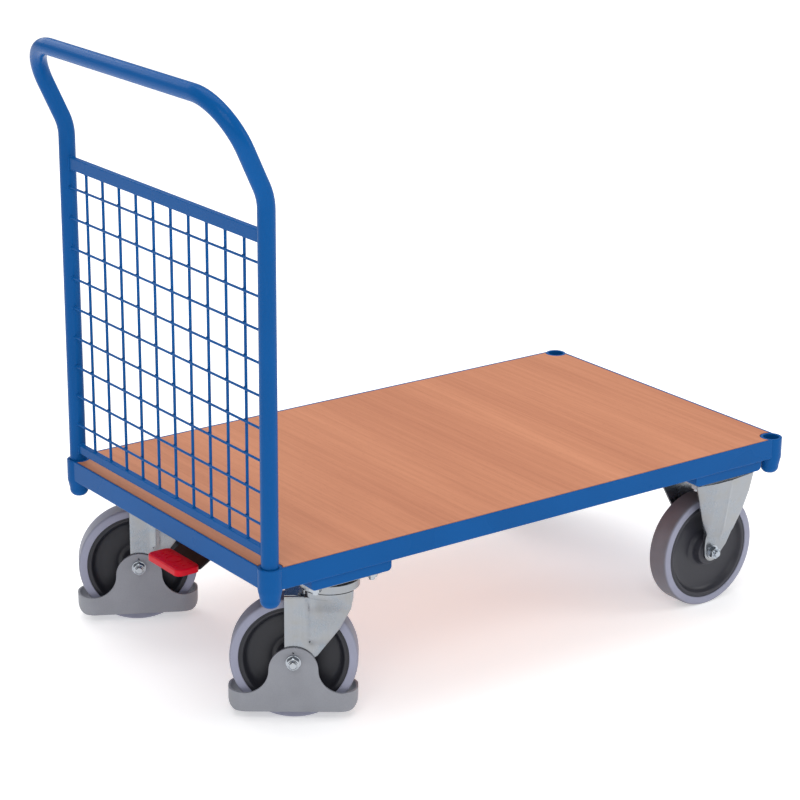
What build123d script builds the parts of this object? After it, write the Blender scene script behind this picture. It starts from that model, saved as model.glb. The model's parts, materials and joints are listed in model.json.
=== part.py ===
from build123d import *
import math
import os

# Flatbed platform truck: a steel frame with a beech deck board, one plug-in end wall of wire
# mesh that ends in a bent push handle, two swivel casters with foot guards under the handle,
# two fixed casters at the other end and a foot pedal that brakes both swivel wheels.
#
# Millimetres. X runs from the handle end to the front, Y to the left, Z up. Every height below
# is measured from the floor; the finished parts are lowered so that the origin is the middle
# of the deck board's top face.

# Overall sizes
DECK_LENGTH = 1053.0
DECK_WIDTH = 609.0
HANDLE_HEIGHT = 1001.0  # centre line of the push bar

# Frame rails: a rolled profile with a lip around the board, a ledge under it and a lower flange
RAIL_HEIGHT = 35.0
RAIL_WALL = 3.5
LEDGE_WIDTH = 26.0
LEDGE_THICKNESS = 3.0
FLANGE_WIDTH = 22.0
BOARD_THICKNESS = 15.0
BOARD_GAP = 1.0

# Corner sockets for the end walls
SOCKET_INSET = 15.0  # from the outer faces of the rails to the socket axis
SOCKET_CLEARANCE = 0.25  # between the bore and the post
SOCKET_WALL = 5.05
SOCKET_DROP = 16.0  # bore's floor below the rails
NOSE_WALL = 1.7
NOSE_LENGTH = 12.0
NOSE_END_RADIUS = 9.5

# End wall
POST_RADIUS = 13.45
POST_WALL = 2.0
POST_END_GAP = 0.2
HANDLE_RISE = 144.0  # push bar above the bends in the posts
HANDLE_LEAN = 25.0  # degrees back from upright
BEND_RADIUS = 80.0
HANDLE_CORNER_RADIUS = 80.0
BAR_DEPTH = 10.0
TOP_BAR_DROP = 49.0  # top crossbar below the bends
TOP_BAR_HEIGHT = 20.0
LOW_BAR_RISE = 13.0  # above the deck
LOW_BAR_HEIGHT = 15.0
VERTICAL_WIRES = 10
VERTICAL_END_GAP = 59.1  # from a post's axis to the nearest wire
VERTICAL_WIRE_RADIUS = 2.35
HORIZONTAL_WIRES = 9
HORIZONTAL_LOW_GAP = 36.0  # from the lower bar to the lowest wire
HORIZONTAL_TOP_GAP = 29.0  # from the highest wire to the top bar
HORIZONTAL_WIRE_RADIUS = 2.0
WELD_GAP = 0.05

# Cross channels under the frame, one above each pair of casters
CHANNEL_LENGTH = 148.0
CHANNEL_RECESS = 5.0
CHANNEL_WALL = 3.0
CHANNEL_DEPTH = 17.0
CHANNEL_CORNER = 7.0

# Casters
SWIVEL_INSET = 156.5  # from the handle end of the deck to the swivel axes
FIXED_INSET = 119.5  # from the front end to the fixed wheels' axles
CASTER_SIDE_INSET = 66.5  # from the deck's sides to the wheels' middle planes
TRAIL = 54.3
RIGHT_SWIVEL_ANGLE = -36.1  # resting directions of the two swivel casters, degrees
LEFT_SWIVEL_ANGLE = -28.2
PLATE_LENGTH = 131.0
PLATE_WIDTH = 110.0
PLATE_THICKNESS = 4.0
BOLT_PITCH_X = 105.0
BOLT_PITCH_Y = 80.0
FORK_INNER = 26.5  # from the wheel's middle plane to the inner face of a fork leg
FORK_SHEET = 3.5
WHEEL_HEADROOM = 5.0  # from the wheel's top to the fork's crown
CROWN_THICKNESS = 4.0
FOOT_RADIUS = 13.5  # round lower end of a fork leg, about the axle
CROWN_FRONT = 38.0  # front edge of a swivel fork's crown, from the swivel axis

# Swivel head: two races around a hollow kingpin
DISH_DEPTH = 15.0  # from the crown's lower face up to the lower race
RACE_THICKNESS = 6.0
DISH_RADIUS = 48.0
DISH_RIM_RISE = 5.0
DISH_WALL = 3.5
DISH_MOUTH = 26.0
RACE_GAP = 4.5  # between the lower and the upper race
HUB_HEIGHT = 8.5
HUB_INNER, HUB_OUTER = 25.0, 40.0
BALL_CIRCLE = 32.0
BALL_RISE = 3.0  # centres above the lower race
BALL_RADIUS = 4.45
BALL_SPACING = 1.1  # least gap between two balls
KINGPIN_HOLE = 14.0
KINGPIN_FLANGE = 24.0
KINGPIN_FLANGE_THICKNESS = 5.0
RUNNING_GAP = 0.05

# Wheels
WHEEL_RADIUS = 100.0
TREAD_THICKNESS = 14.0
WHEEL_WIDTH = 41.0
SHOULDER_RADIUS = 10.5
HUB_END_GAP = 1.5  # from the hub's end to the fork leg
BEARING_RADIUS = 13.0
SLEEVE_RADIUS = 9.0
AXLE_RADIUS = 6.0
AXLE_HOLE_CLEARANCE = 0.1
AXLE_NUT_FLATS = 19.0
AXLE_NUT_HEIGHT = 10.0
AXLE_HEAD_HEIGHT = 7.5
WASHER_RADIUS = 12.0
WASHER_THICKNESS = 2.5

# Foot guards around the swivel wheels
GUARD_OVERHANG = 1.3  # ends of the guard past the wheel's outline
GUARD_SHIFT = 1.7  # of its middle behind the axle
GUARD_HEEL = 15.0  # radius of its lower ends in side view
GUARD_GAP = 0.4  # between the fork leg and the guard's plate
GUARD_WALL = 3.6
GUARD_CORNER = 30.0
GUARD_BOTTOM = 16.0
GUARD_RING_TOP = 47.0
GUARD_CREST = 24.0  # round top above the axle
GUARD_PEG_RISE = 15.0
GUARD_PEG_HOLE = 1.7

# Brake: pedal and cross shaft, with one plunger down through each kingpin
FINGER_REACH = 20.0
SHAFT_RISE = 21.0  # above the underside of the channel
SHAFT_RADIUS = 7.0
SHAFT_OVERHANG = 14.0
FINGER_WIDTH = 10.0
FINGER_GAP = 0.3
PLUNGER_TRAVEL = 3.5
PLUNGER_RADIUS = 6.0
BUTTON_RADIUS = 8.0
BUTTON_DOME = 10.0
SHOE_RADIUS = 15.0
SHOE_THICKNESS = 4.0
SHOE_PLATE_THICKNESS = 3.0
SHOE_END_GAP = 0.4
PEDAL_Y = -44.0
PEDAL_WIDTH = 84.0
PEDAL_OVERHANG = 23.5  # past the handle end of the deck
PEDAL_DEPTH = 43.0
PEDAL_DROP = 38.0  # plate's underside below the rails
PEDAL_SHEET = 3.0
TREAD_HEIGHT = 6.0
TREAD_LAP_X, TREAD_LAP_Y = 2.5, 5.0  # past the plate's edges
TREAD_SKIRT = 4.5  # down past the plate's top face
TREAD_PLATE_GAP = 0.2
SHANK_RUN = 42.0
SHANK_ANGLE = 30.0
ARM_THICKNESS = 6.0
BRACKET_SHEET = 4.0
BRACKET_INSET = 30.0

# Fasteners
CASTER_BOLT_RADIUS = 5.0
CASTER_HOLE_CLEARANCE = 0.25
CASTER_BOLT_FLATS = 17.0
CASTER_HEAD_HEIGHT = 6.4
CASTER_NUT_HEIGHT = 8.0
CASTER_BOLT_TAIL = 5.0
SCREW_RADIUS = 2.1
SCREW_HEAD_RADIUS = 4.2
SCREW_HEAD_HEIGHT = 2.5
SCREW_DEPTH = 10.0
SCREW_REAR_INSET = 106.5
SCREW_FRONT_INSET = 66.5
SCREW_MIDDLE_X = 150.0

# Values that follow from the ones above
CROWN_BOTTOM = 2 * WHEEL_RADIUS + WHEEL_HEADROOM
CROWN_TOP = CROWN_BOTTOM + CROWN_THICKNESS
RACE_FLOOR = CROWN_BOTTOM + DISH_DEPTH
RACE_FLOOR_TOP = RACE_FLOOR + RACE_THICKNESS
DISH_RIM_TOP = RACE_FLOOR_TOP + DISH_RIM_RISE
BALL_HEIGHT = RACE_FLOOR_TOP + BALL_RISE
BALL_COUNT = int(2 * math.pi * BALL_CIRCLE / (2 * BALL_RADIUS + BALL_SPACING))
HUB_BOTTOM = RACE_FLOOR_TOP + RACE_GAP
PLATE_BOTTOM = HUB_BOTTOM + HUB_HEIGHT
CHANNEL_BOTTOM = PLATE_BOTTOM + PLATE_THICKNESS
RAIL_BOTTOM = CHANNEL_BOTTOM + CHANNEL_DEPTH
DECK_HEIGHT = RAIL_BOTTOM + RAIL_HEIGHT
LEDGE_TOP = DECK_HEIGHT - BOARD_THICKNESS
FORK_OUTER = FORK_INNER + FORK_SHEET
RIM_RADIUS = WHEEL_RADIUS - TREAD_THICKNESS
HUB_HALF = FORK_INNER - HUB_END_GAP
AXLE_HOLE = AXLE_RADIUS + AXLE_HOLE_CLEARANCE
CASTER_BOLT_HOLE = CASTER_BOLT_RADIUS + CASTER_HOLE_CLEARANCE
SWIVEL_X = SWIVEL_INSET - DECK_LENGTH / 2
FIXED_X = DECK_LENGTH / 2 - FIXED_INSET
TRACK = DECK_WIDTH - 2 * CASTER_SIDE_INSET
SOCKET_X = DECK_LENGTH / 2 - SOCKET_INSET
SOCKET_Y = DECK_WIDTH / 2 - SOCKET_INSET
SOCKET_BORE = POST_RADIUS + SOCKET_CLEARANCE
SOCKET_RADIUS = SOCKET_BORE + SOCKET_WALL
NOSE_RADIUS = SOCKET_BORE + NOSE_WALL
SOCKET_FLOOR = RAIL_BOTTOM - SOCKET_DROP
SOCKET_BOTTOM = SOCKET_FLOOR - NOSE_LENGTH
LOW_BAR_BOTTOM = DECK_HEIGHT + LOW_BAR_RISE
LOW_BAR_TOP = LOW_BAR_BOTTOM + LOW_BAR_HEIGHT
VERTICAL_PITCH = 2 * (SOCKET_Y - VERTICAL_END_GAP) / (VERTICAL_WIRES - 1)
BEND_HEIGHT = HANDLE_HEIGHT - HANDLE_RISE
TOP_BAR_TOP = BEND_HEIGHT - TOP_BAR_DROP
TOP_BAR_BOTTOM = TOP_BAR_TOP - TOP_BAR_HEIGHT
HORIZONTAL_START = LOW_BAR_TOP + HORIZONTAL_LOW_GAP
HORIZONTAL_PITCH = (TOP_BAR_BOTTOM - HORIZONTAL_TOP_GAP - HORIZONTAL_START) / (HORIZONTAL_WIRES - 1)
GUARD_HALF_LENGTH = WHEEL_RADIUS + GUARD_OVERHANG
GUARD_HALF_WIDTH = FORK_OUTER + GUARD_GAP + GUARD_WALL
GUARD_CURVE = (WHEEL_RADIUS + GUARD_CREST - GUARD_RING_TOP) / 2  # of its round top and hollows
SCREW_XS = (
    SCREW_REAR_INSET - DECK_LENGTH / 2,
    -SCREW_MIDDLE_X,
    SCREW_MIDDLE_X,
    DECK_LENGTH / 2 - SCREW_FRONT_INSET,
)
SHAFT_X = SWIVEL_X + FINGER_REACH
SHAFT_HEIGHT = CHANNEL_BOTTOM + SHAFT_RISE
PLUNGER_TOP = SHAFT_HEIGHT - SHAFT_RADIUS
PEDAL_BACK_X = -DECK_LENGTH / 2 - PEDAL_OVERHANG
PEDAL_FRONT_X = PEDAL_BACK_X + PEDAL_DEPTH
PEDAL_PLATE_BOTTOM = RAIL_BOTTOM - PEDAL_DROP
PEDAL_PLATE_TOP = PEDAL_PLATE_BOTTOM + PEDAL_SHEET

parts = {}


# Small helpers ----------------------------------------------------------------------------


def block(x0, x1, y0, y1, z0, z1):
    """A box between two corners."""
    centre = Pos((x0 + x1) / 2, (y0 + y1) / 2, (z0 + z1) / 2)
    return centre * Box(x1 - x0, y1 - y0, z1 - z0)


def upright(radius, z0, z1, x=0.0, y=0.0):
    """A round bar along Z."""
    return Pos(x, y, (z0 + z1) / 2) * Cylinder(radius, z1 - z0)


def crosswise(radius, y0, y1, x=0.0, z=0.0):
    """A round bar along Y."""
    return Pos(x, (y0 + y1) / 2, z) * Rot(90, 0, 0) * Cylinder(radius, y1 - y0)


def polygon(*points):
    return make_face(Polyline(*points, close=True))


def side_plate(face, y0, y1):
    """A face drawn in the XZ plane, given its thickness from y0 to y1."""
    return Pos(0, (y0 + y1) / 2, 0) * extrude(Plane.XZ * face, amount=(y1 - y0) / 2, both=True)


def turned_on_z(*points):
    """A body of revolution about Z from (radius, height) points."""
    return revolve(Plane.XZ * polygon(*points), axis=Axis.Z)


def hexagon_on_y(flats, y0, y1):
    """A hexagonal prism along Y, for nuts and bolt heads."""
    return side_plate(RegularPolygon(flats / 2, 6, major_radius=False), y0, y1)


def hexagon_on_z(flats, z0, z1):
    return Pos(0, 0, z0) * extrude(RegularPolygon(flats / 2, 6, major_radius=False), amount=z1 - z0)


def group(bodies):
    """Separate solids that share one node."""
    return Compound(children=list(bodies))


def socket_places():
    """The four corner socket axes: rear pair first."""
    return [(x, y) for x in (-SOCKET_X, SOCKET_X) for y in (-SOCKET_Y, SOCKET_Y)]


def caster_bolt_places():
    """Bolt positions around one caster's centre."""
    half_x = BOLT_PITCH_X / 2
    half_y = BOLT_PITCH_Y / 2
    return [(x, y) for x in (-half_x, half_x) for y in (-half_y, half_y)]


def board_screw_places():
    return [(x, y) for x in SCREW_XS for y in (-SOCKET_Y, SOCKET_Y)]


# Frame --------------------------------------------------------------------------------------


def rail_profile():
    """Section of a rail, drawn inward from its outer face: lip, board ledge, lower flange."""
    ledge_bottom = LEDGE_TOP - LEDGE_THICKNESS
    flange_top = RAIL_BOTTOM + RAIL_WALL
    face = polygon(
        (0, RAIL_BOTTOM),
        (FLANGE_WIDTH, RAIL_BOTTOM),
        (FLANGE_WIDTH, flange_top),
        (RAIL_WALL, flange_top),
        (RAIL_WALL, ledge_bottom),
        (LEDGE_WIDTH, ledge_bottom),
        (LEDGE_WIDTH, LEDGE_TOP),
        (RAIL_WALL, LEDGE_TOP),
        (RAIL_WALL, DECK_HEIGHT),
        (0, DECK_HEIGHT),
    )
    outer = face.vertices().filter_by_position(Axis.X, -0.1, 0.1)
    face = fillet(outer.sort_by(Axis.Y)[0], RAIL_WALL - 0.5)
    lip = face.vertices().filter_by_position(Axis.Y, DECK_HEIGHT - 0.1, DECK_HEIGHT + 0.1)
    return fillet(lip, 0.8)


def socket_holes():
    return [upright(SOCKET_RADIUS, SOCKET_BOTTOM, DECK_HEIGHT + 1, x, y) for x, y in socket_places()]


def long_rail(side):
    """The rail along one side: side is +1 on the left, -1 on the right."""
    section = Plane((0, -side * DECK_WIDTH / 2, 0), x_dir=(0, side, 0), z_dir=(side, 0, 0))
    rail = extrude(section * rail_profile(), amount=SOCKET_X, both=True)
    rail = mirror(rail, Plane.XZ)
    rail -= socket_holes()
    screws = [upright(SCREW_RADIUS, RAIL_BOTTOM + RAIL_WALL, LEDGE_TOP + 1, x, side * SOCKET_Y)
              for x in SCREW_XS]
    return rail - screws


def cross_rail(end):
    """The rail along one end: end is +1 at the front, -1 under the handle."""
    section = Plane((end * DECK_LENGTH / 2, 0, 0), x_dir=(-end, 0, 0), z_dir=(0, end, 0))
    rail = extrude(section * rail_profile(), amount=SOCKET_Y, both=True)
    return rail - socket_holes()


def corner_socket(x, y):
    """A round socket, open at the deck and closed by a rounded nose below the frame."""
    round_middle = (NOSE_RADIUS - 2.1, SOCKET_FLOOR - 8.4)
    outline = [
        Line((0, SOCKET_BOTTOM), (0, DECK_HEIGHT)),
        Line((0, DECK_HEIGHT), (SOCKET_RADIUS, DECK_HEIGHT)),
        Line((SOCKET_RADIUS, DECK_HEIGHT), (SOCKET_RADIUS, RAIL_BOTTOM)),
        Line((SOCKET_RADIUS, RAIL_BOTTOM), (NOSE_RADIUS, SOCKET_FLOOR)),
        ThreePointArc((NOSE_RADIUS, SOCKET_FLOOR), round_middle, (NOSE_END_RADIUS, SOCKET_BOTTOM)),
        Line((NOSE_END_RADIUS, SOCKET_BOTTOM), (0, SOCKET_BOTTOM)),
    ]
    body = revolve(Plane.XZ * make_face(outline), axis=Axis.Z)
    body -= upright(SOCKET_BORE, SOCKET_FLOOR, DECK_HEIGHT + 1)
    mouth = body.edges().filter_by(GeomType.CIRCLE).group_by(Axis.Z)[-1]
    return Pos(x, y, 0) * chamfer(mouth, 0.8)


def deck_board():
    """Board that lies on the ledges inside the lip, cut out round the sockets."""
    margin = RAIL_WALL + BOARD_GAP
    half_x = DECK_LENGTH / 2 - margin
    half_y = DECK_WIDTH / 2 - margin
    board = block(-half_x, half_x, -half_y, half_y, LEDGE_TOP, DECK_HEIGHT)
    cutouts = [upright(SOCKET_RADIUS + BOARD_GAP, LEDGE_TOP - 1, DECK_HEIGHT + 1, x, y)
               for x, y in socket_places()]
    pilots = [upright(SCREW_RADIUS, LEDGE_TOP - 1, LEDGE_TOP + SCREW_DEPTH + 0.5, x, y)
              for x, y in board_screw_places()]
    return board - cutouts - pilots


def board_screw(x, y):
    """Pan-head screw driven up through the ledge into the board."""
    head_top = LEDGE_TOP - LEDGE_THICKNESS
    shank = upright(SCREW_RADIUS - WELD_GAP, head_top, LEDGE_TOP + SCREW_DEPTH, x, y)
    return shank + upright(SCREW_HEAD_RADIUS, head_top - SCREW_HEAD_HEIGHT, head_top, x, y)


def cross_channel(centre_x, kingpin_radius):
    """A pressed channel across the frame, open upward, with closed ends."""
    half_x = CHANNEL_LENGTH / 2
    half_y = DECK_WIDTH / 2 - CHANNEL_RECESS
    body = block(-half_x, half_x, -half_y, half_y, CHANNEL_BOTTOM, RAIL_BOTTOM)
    body = fillet(body.edges().filter_by(Axis.Y).group_by(Axis.Z)[0], CHANNEL_CORNER)
    inner_x = half_x - CHANNEL_WALL
    inner_y = half_y - CHANNEL_WALL
    floor = CHANNEL_BOTTOM + CHANNEL_WALL
    hollow = block(-inner_x, inner_x, -inner_y, inner_y, floor, RAIL_BOTTOM + 10)
    body -= fillet(hollow.edges().filter_by(Axis.Y).group_by(Axis.Z)[0], CHANNEL_CORNER - CHANNEL_WALL)
    for y in (-TRACK / 2, TRACK / 2):
        body -= [upright(CASTER_BOLT_HOLE, CHANNEL_BOTTOM - 1, floor + 1, dx, y + dy)
                 for dx, dy in caster_bolt_places()]
        if kingpin_radius:
            body -= upright(kingpin_radius, CHANNEL_BOTTOM - 1, floor + 1, 0, y)
    return Pos(centre_x, 0, 0) * body


def rear_channel():
    """The channel over the swivel casters, with a slot that the brake arm swings through."""
    body = cross_channel(SWIVEL_X, KINGPIN_HOLE + 6)
    slot_half = ARM_THICKNESS / 2 + 3
    slot_end = SHAFT_X - 26
    return body - block(SWIVEL_X - CHANNEL_LENGTH, slot_end, PEDAL_Y - slot_half,
                        PEDAL_Y + slot_half, CHANNEL_BOTTOM - 1, RAIL_BOTTOM + 1)


# End wall -----------------------------------------------------------------------------------


def handle_tube():
    """Both posts and the push bar, bent from one tube."""
    top_x = -SOCKET_X - HANDLE_RISE * math.tan(math.radians(HANDLE_LEAN))
    foot = SOCKET_FLOOR + POST_END_GAP
    path = FilletPolyline(
        (-SOCKET_X, -SOCKET_Y, foot),
        (-SOCKET_X, -SOCKET_Y, BEND_HEIGHT),
        (top_x, -SOCKET_Y, HANDLE_HEIGHT),
        (top_x, SOCKET_Y, HANDLE_HEIGHT),
        (-SOCKET_X, SOCKET_Y, BEND_HEIGHT),
        (-SOCKET_X, SOCKET_Y, foot),
        radius=[BEND_RADIUS, HANDLE_CORNER_RADIUS, HANDLE_CORNER_RADIUS, BEND_RADIUS],
    )
    start = Plane((-SOCKET_X, -SOCKET_Y, foot))
    outer = sweep(start * Circle(POST_RADIUS), path=path)
    inner = sweep(start * Circle(POST_RADIUS - POST_WALL), path=path)
    return outer - inner


def posts_as_bars():
    return [upright(POST_RADIUS, SOCKET_FLOOR, BEND_HEIGHT, -SOCKET_X, y) for y in (-SOCKET_Y, SOCKET_Y)]


def crossbar(z0, z1):
    """A flat rectangular tube welded between the posts."""
    half = BAR_DEPTH / 2
    bar = block(-SOCKET_X - half, -SOCKET_X + half, -SOCKET_Y, SOCKET_Y, z0, z1)
    bar = fillet(bar.edges().filter_by(Axis.Y), 1.5)
    bar -= block(-SOCKET_X - half + 1.5, -SOCKET_X + half - 1.5, -SOCKET_Y, SOCKET_Y, z0 + 1.5, z1 - 1.5)
    return bar - posts_as_bars()


def vertical_wires():
    wires = []
    for i in range(VERTICAL_WIRES):
        y = (i - (VERTICAL_WIRES - 1) / 2) * VERTICAL_PITCH
        wires.append(upright(VERTICAL_WIRE_RADIUS, LOW_BAR_TOP, TOP_BAR_BOTTOM, -SOCKET_X, y))
    return group(wires)


def horizontal_wires():
    """Wires welded across the handle side of the upright ones, from post to post."""
    x = -SOCKET_X - VERTICAL_WIRE_RADIUS - HORIZONTAL_WIRE_RADIUS - WELD_GAP
    wires = []
    for i in range(HORIZONTAL_WIRES):
        z = HORIZONTAL_START + i * HORIZONTAL_PITCH
        wire = crosswise(HORIZONTAL_WIRE_RADIUS, -SOCKET_Y, SOCKET_Y, x, z)
        wires.append(wire - posts_as_bars())
    return group(wires)


# Wheels (drawn round the Y axis, placed by each caster) --------------------------------------


def tyre():
    face = Pos((RIM_RADIUS + WHEEL_RADIUS) / 2, 0) * Rectangle(TREAD_THICKNESS, WHEEL_WIDTH)
    shoulders = face.vertices().group_by(Axis.X)[-1]
    face = fillet(shoulders, SHOULDER_RADIUS)
    flanks = face.vertices().group_by(Axis.X)[0]
    return revolve(fillet(flanks, 1.0), axis=Axis.Y)


def rim():
    """Plastic wheel centre: bearing hub, dished web with a step ring, rim under the tyre."""
    half = WHEEL_WIDTH / 2 - 1.0
    one_side = [
        (BEARING_RADIUS, HUB_HALF),
        (BEARING_RADIUS + 8.0, HUB_HALF),
        (BEARING_RADIUS + 9.5, 7.0),
        (BEARING_RADIUS + 14.0, 4.5),
        (BEARING_RADIUS + 24.0, 6.0),
        (RIM_RADIUS - 12.5, 8.5),
        (RIM_RADIUS - 6.0, half - 1.0),
        (RIM_RADIUS - 4.5, half),
        (RIM_RADIUS, half),
    ]
    other_side = [(r, -y) for r, y in reversed(one_side)]
    return revolve(polygon(*one_side, *other_side), axis=Axis.Y)


def roller_bearing():
    """Roller cage pressed into the hub, turning on the axle sleeve."""
    half = HUB_HALF - 2.0
    body = crosswise(BEARING_RADIUS, -half, half)
    return body - crosswise(SLEEVE_RADIUS + RUNNING_GAP, -half - 1, half + 1)


def axle_sleeve():
    half = FORK_INNER - RUNNING_GAP
    return crosswise(SLEEVE_RADIUS, -half, half) - crosswise(AXLE_HOLE, -half - 1, half + 1)


def axle_bolt(clamp_half):
    """Hexagon bolt whose head bears on the +Y side, clamp_half from the middle plane."""
    tail = -clamp_half - WASHER_THICKNESS - AXLE_NUT_HEIGHT - 3.0
    head = hexagon_on_y(AXLE_NUT_FLATS, clamp_half, clamp_half + AXLE_HEAD_HEIGHT)
    shank = crosswise(AXLE_RADIUS - RUNNING_GAP, tail, clamp_half + 1)
    return chamfer(shank.edges().group_by(Axis.Y)[0], 1.2) + head


def axle_nut(clamp_half):
    """Lock nut and washer on the -Y side."""
    seat = -clamp_half - WASHER_THICKNESS
    washer = crosswise(WASHER_RADIUS, seat, -clamp_half)
    nut = hexagon_on_y(AXLE_NUT_FLATS, seat - AXLE_NUT_HEIGHT + 2, seat)
    collar = crosswise(AXLE_NUT_FLATS / 2 - 1.2, seat - AXLE_NUT_HEIGHT, seat - AXLE_NUT_HEIGHT + 2)
    return washer + nut + collar - crosswise(AXLE_RADIUS, seat - AXLE_NUT_HEIGHT - 1, 0)


# Swivel casters (drawn with the swivel axis on Z and the wheel trailing toward -X) -----------


def mounting_plate():
    plate = block(-PLATE_LENGTH / 2, PLATE_LENGTH / 2, -PLATE_WIDTH / 2, PLATE_WIDTH / 2,
                  PLATE_BOTTOM, CHANNEL_BOTTOM)
    plate = fillet(plate.edges().filter_by(Axis.Z), 8.0)
    return plate - [upright(CASTER_BOLT_HOLE, PLATE_BOTTOM - 1, CHANNEL_BOTTOM + 1, x, y)
                    for x, y in caster_bolt_places()]


def ball_groove():
    return Pos(0, 0, BALL_HEIGHT) * Torus(BALL_CIRCLE, BALL_RADIUS + RUNNING_GAP)


def top_plate():
    """Mounting plate with the upper ball race under it."""
    race = upright(HUB_OUTER, HUB_BOTTOM, PLATE_BOTTOM) - upright(HUB_INNER, HUB_BOTTOM - 1, PLATE_BOTTOM)
    body = mounting_plate() + race - upright(KINGPIN_HOLE, PLATE_BOTTOM - 1, CHANNEL_BOTTOM + 1)
    return body - ball_groove()


def swivel_balls():
    ring = []
    for i in range(BALL_COUNT):
        ring.append(Rot(0, 0, i * 360 / BALL_COUNT) * Pos(BALL_CIRCLE, 0, BALL_HEIGHT) * Sphere(BALL_RADIUS))
    return group(ring)


def kingpin():
    """Hollow pin that carries the fork on its lower flange."""
    radius = KINGPIN_HOLE - RUNNING_GAP
    flange_top = RACE_FLOOR - 2 * RUNNING_GAP
    body = upright(radius, flange_top - 1, CHANNEL_BOTTOM + 1)
    body += upright(KINGPIN_FLANGE, flange_top - KINGPIN_FLANGE_THICKNESS, flange_top)
    body += upright(KINGPIN_HOLE + 3, CHANNEL_BOTTOM, CHANNEL_BOTTOM + 2)
    return body - upright(PLUNGER_RADIUS + RUNNING_GAP, RACE_FLOOR - 20, CHANNEL_BOTTOM + 5)


def swivel_leg_outline():
    """Side view of a fork leg: upright back edge, slanted front edge, round foot at the axle."""
    foot = Vector(-TRAIL, WHEEL_RADIUS)
    back_x = -TRAIL - FOOT_RADIUS
    tangent = foot + Vector(FOOT_RADIUS, 0).rotate(Axis.Z, -49.0)
    top_back = (back_x, CROWN_TOP)
    top_front = (CROWN_FRONT, CROWN_TOP)
    slope = [(-17.0, WHEEL_RADIUS + 10), (16.7, WHEEL_RADIUS + 55), (34.7, WHEEL_RADIUS + 90)]
    front = Polyline(tangent, *slope, top_front)
    foot_arc = ThreePointArc((back_x, WHEEL_RADIUS), foot - Vector(0, FOOT_RADIUS), tangent)
    return make_face([Line(top_front, top_back), Line(top_back, (back_x, WHEEL_RADIUS)), foot_arc, front])


def swivel_fork():
    """Pressed fork: dish with the lower race, crown plate and two legs."""
    dish = turned_on_z(
        (KINGPIN_HOLE, RACE_FLOOR),
        (KINGPIN_HOLE, RACE_FLOOR_TOP),
        (DISH_RADIUS - DISH_WALL, RACE_FLOOR_TOP),
        (DISH_RADIUS - DISH_WALL, DISH_RIM_TOP),
        (DISH_RADIUS, DISH_RIM_TOP),
        (DISH_RADIUS, RACE_FLOOR - 1),
        (DISH_MOUTH + 4, CROWN_BOTTOM),
        (DISH_MOUTH, CROWN_BOTTOM),
        (DISH_MOUTH, CROWN_BOTTOM + 3),
        (DISH_RADIUS - 7, RACE_FLOOR - 2),
        (DISH_RADIUS - 7, RACE_FLOOR),
    )
    crown = block(-TRAIL - FOOT_RADIUS, CROWN_FRONT, -FORK_OUTER, FORK_OUTER, CROWN_BOTTOM, CROWN_TOP)
    crown -= upright(DISH_MOUTH + 2, CROWN_BOTTOM - 1, CROWN_TOP + 1)
    legs = side_plate(swivel_leg_outline(), -FORK_OUTER, FORK_OUTER)
    legs -= block(-200, 200, -FORK_INNER, FORK_INNER, 0, CROWN_BOTTOM)
    legs -= block(-200, 200, -FORK_INNER, FORK_INNER, CROWN_BOTTOM - 1, CROWN_TOP + 1)
    shell = crown + legs
    shoulders = shell.edges().filter_by(Axis.X).group_by(Axis.Z)[-1]
    outer = [e for e in shoulders if abs(abs(e.center().Y) - FORK_OUTER) < 0.1]
    shell = fillet(outer, 3.0)
    shell -= crosswise(AXLE_HOLE, -100, 100, -TRAIL, WHEEL_RADIUS)
    return shell + dish - ball_groove()


def foot_guard():
    """Ring skirt round the tyre, with a plate on each side that hangs from the axle."""
    half_x = GUARD_HALF_LENGTH
    half_y = GUARD_HALF_WIDTH
    plan = RectangleRounded(2 * half_x, 2 * half_y, GUARD_CORNER)
    inner = RectangleRounded(2 * (half_x - GUARD_WALL), 2 * (half_y - GUARD_WALL), GUARD_CORNER - GUARD_WALL)
    height = GUARD_RING_TOP - GUARD_BOTTOM
    ring = extrude(plan, amount=height)
    ring = Pos(-GUARD_SHIFT, 0, GUARD_BOTTOM) * (ring - extrude(inner, amount=height))
    side_view = Pos(-GUARD_SHIFT, GUARD_BOTTOM + height / 2) * Rectangle(2 * half_x, height)
    heels = side_view.vertices().group_by(Axis.Y)[0]
    ring &= side_plate(fillet(heels, GUARD_HEEL), -half_y, half_y)
    curve = GUARD_CURVE
    waist = GUARD_RING_TOP + curve
    low = GUARD_RING_TOP - 6
    end = 2 * curve
    middle_x = end - curve * math.sqrt(0.5)  # halfway round each hollow
    middle_z = waist - curve * math.sqrt(0.5)
    outline = [
        Line((-end, low), (end, low)),
        Line((end, low), (end, GUARD_RING_TOP)),
        ThreePointArc((end, GUARD_RING_TOP), (middle_x, middle_z), (curve, waist)),
        ThreePointArc((curve, waist), (0, waist + curve), (-curve, waist)),
        ThreePointArc((-curve, waist), (-middle_x, middle_z), (-end, GUARD_RING_TOP)),
        Line((-end, GUARD_RING_TOP), (-end, low)),
    ]
    face = make_face(outline)
    guard = ring
    for side in (-1, 1):
        y0, y1 = sorted((side * (half_y - GUARD_WALL), side * half_y))
        guard += side_plate(face, y0, y1)
    guard -= crosswise(AXLE_HOLE, -100, 100, 0, WHEEL_RADIUS)
    return guard - crosswise(GUARD_PEG_HOLE, -100, 100, 0, WHEEL_RADIUS + GUARD_PEG_RISE)


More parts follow.
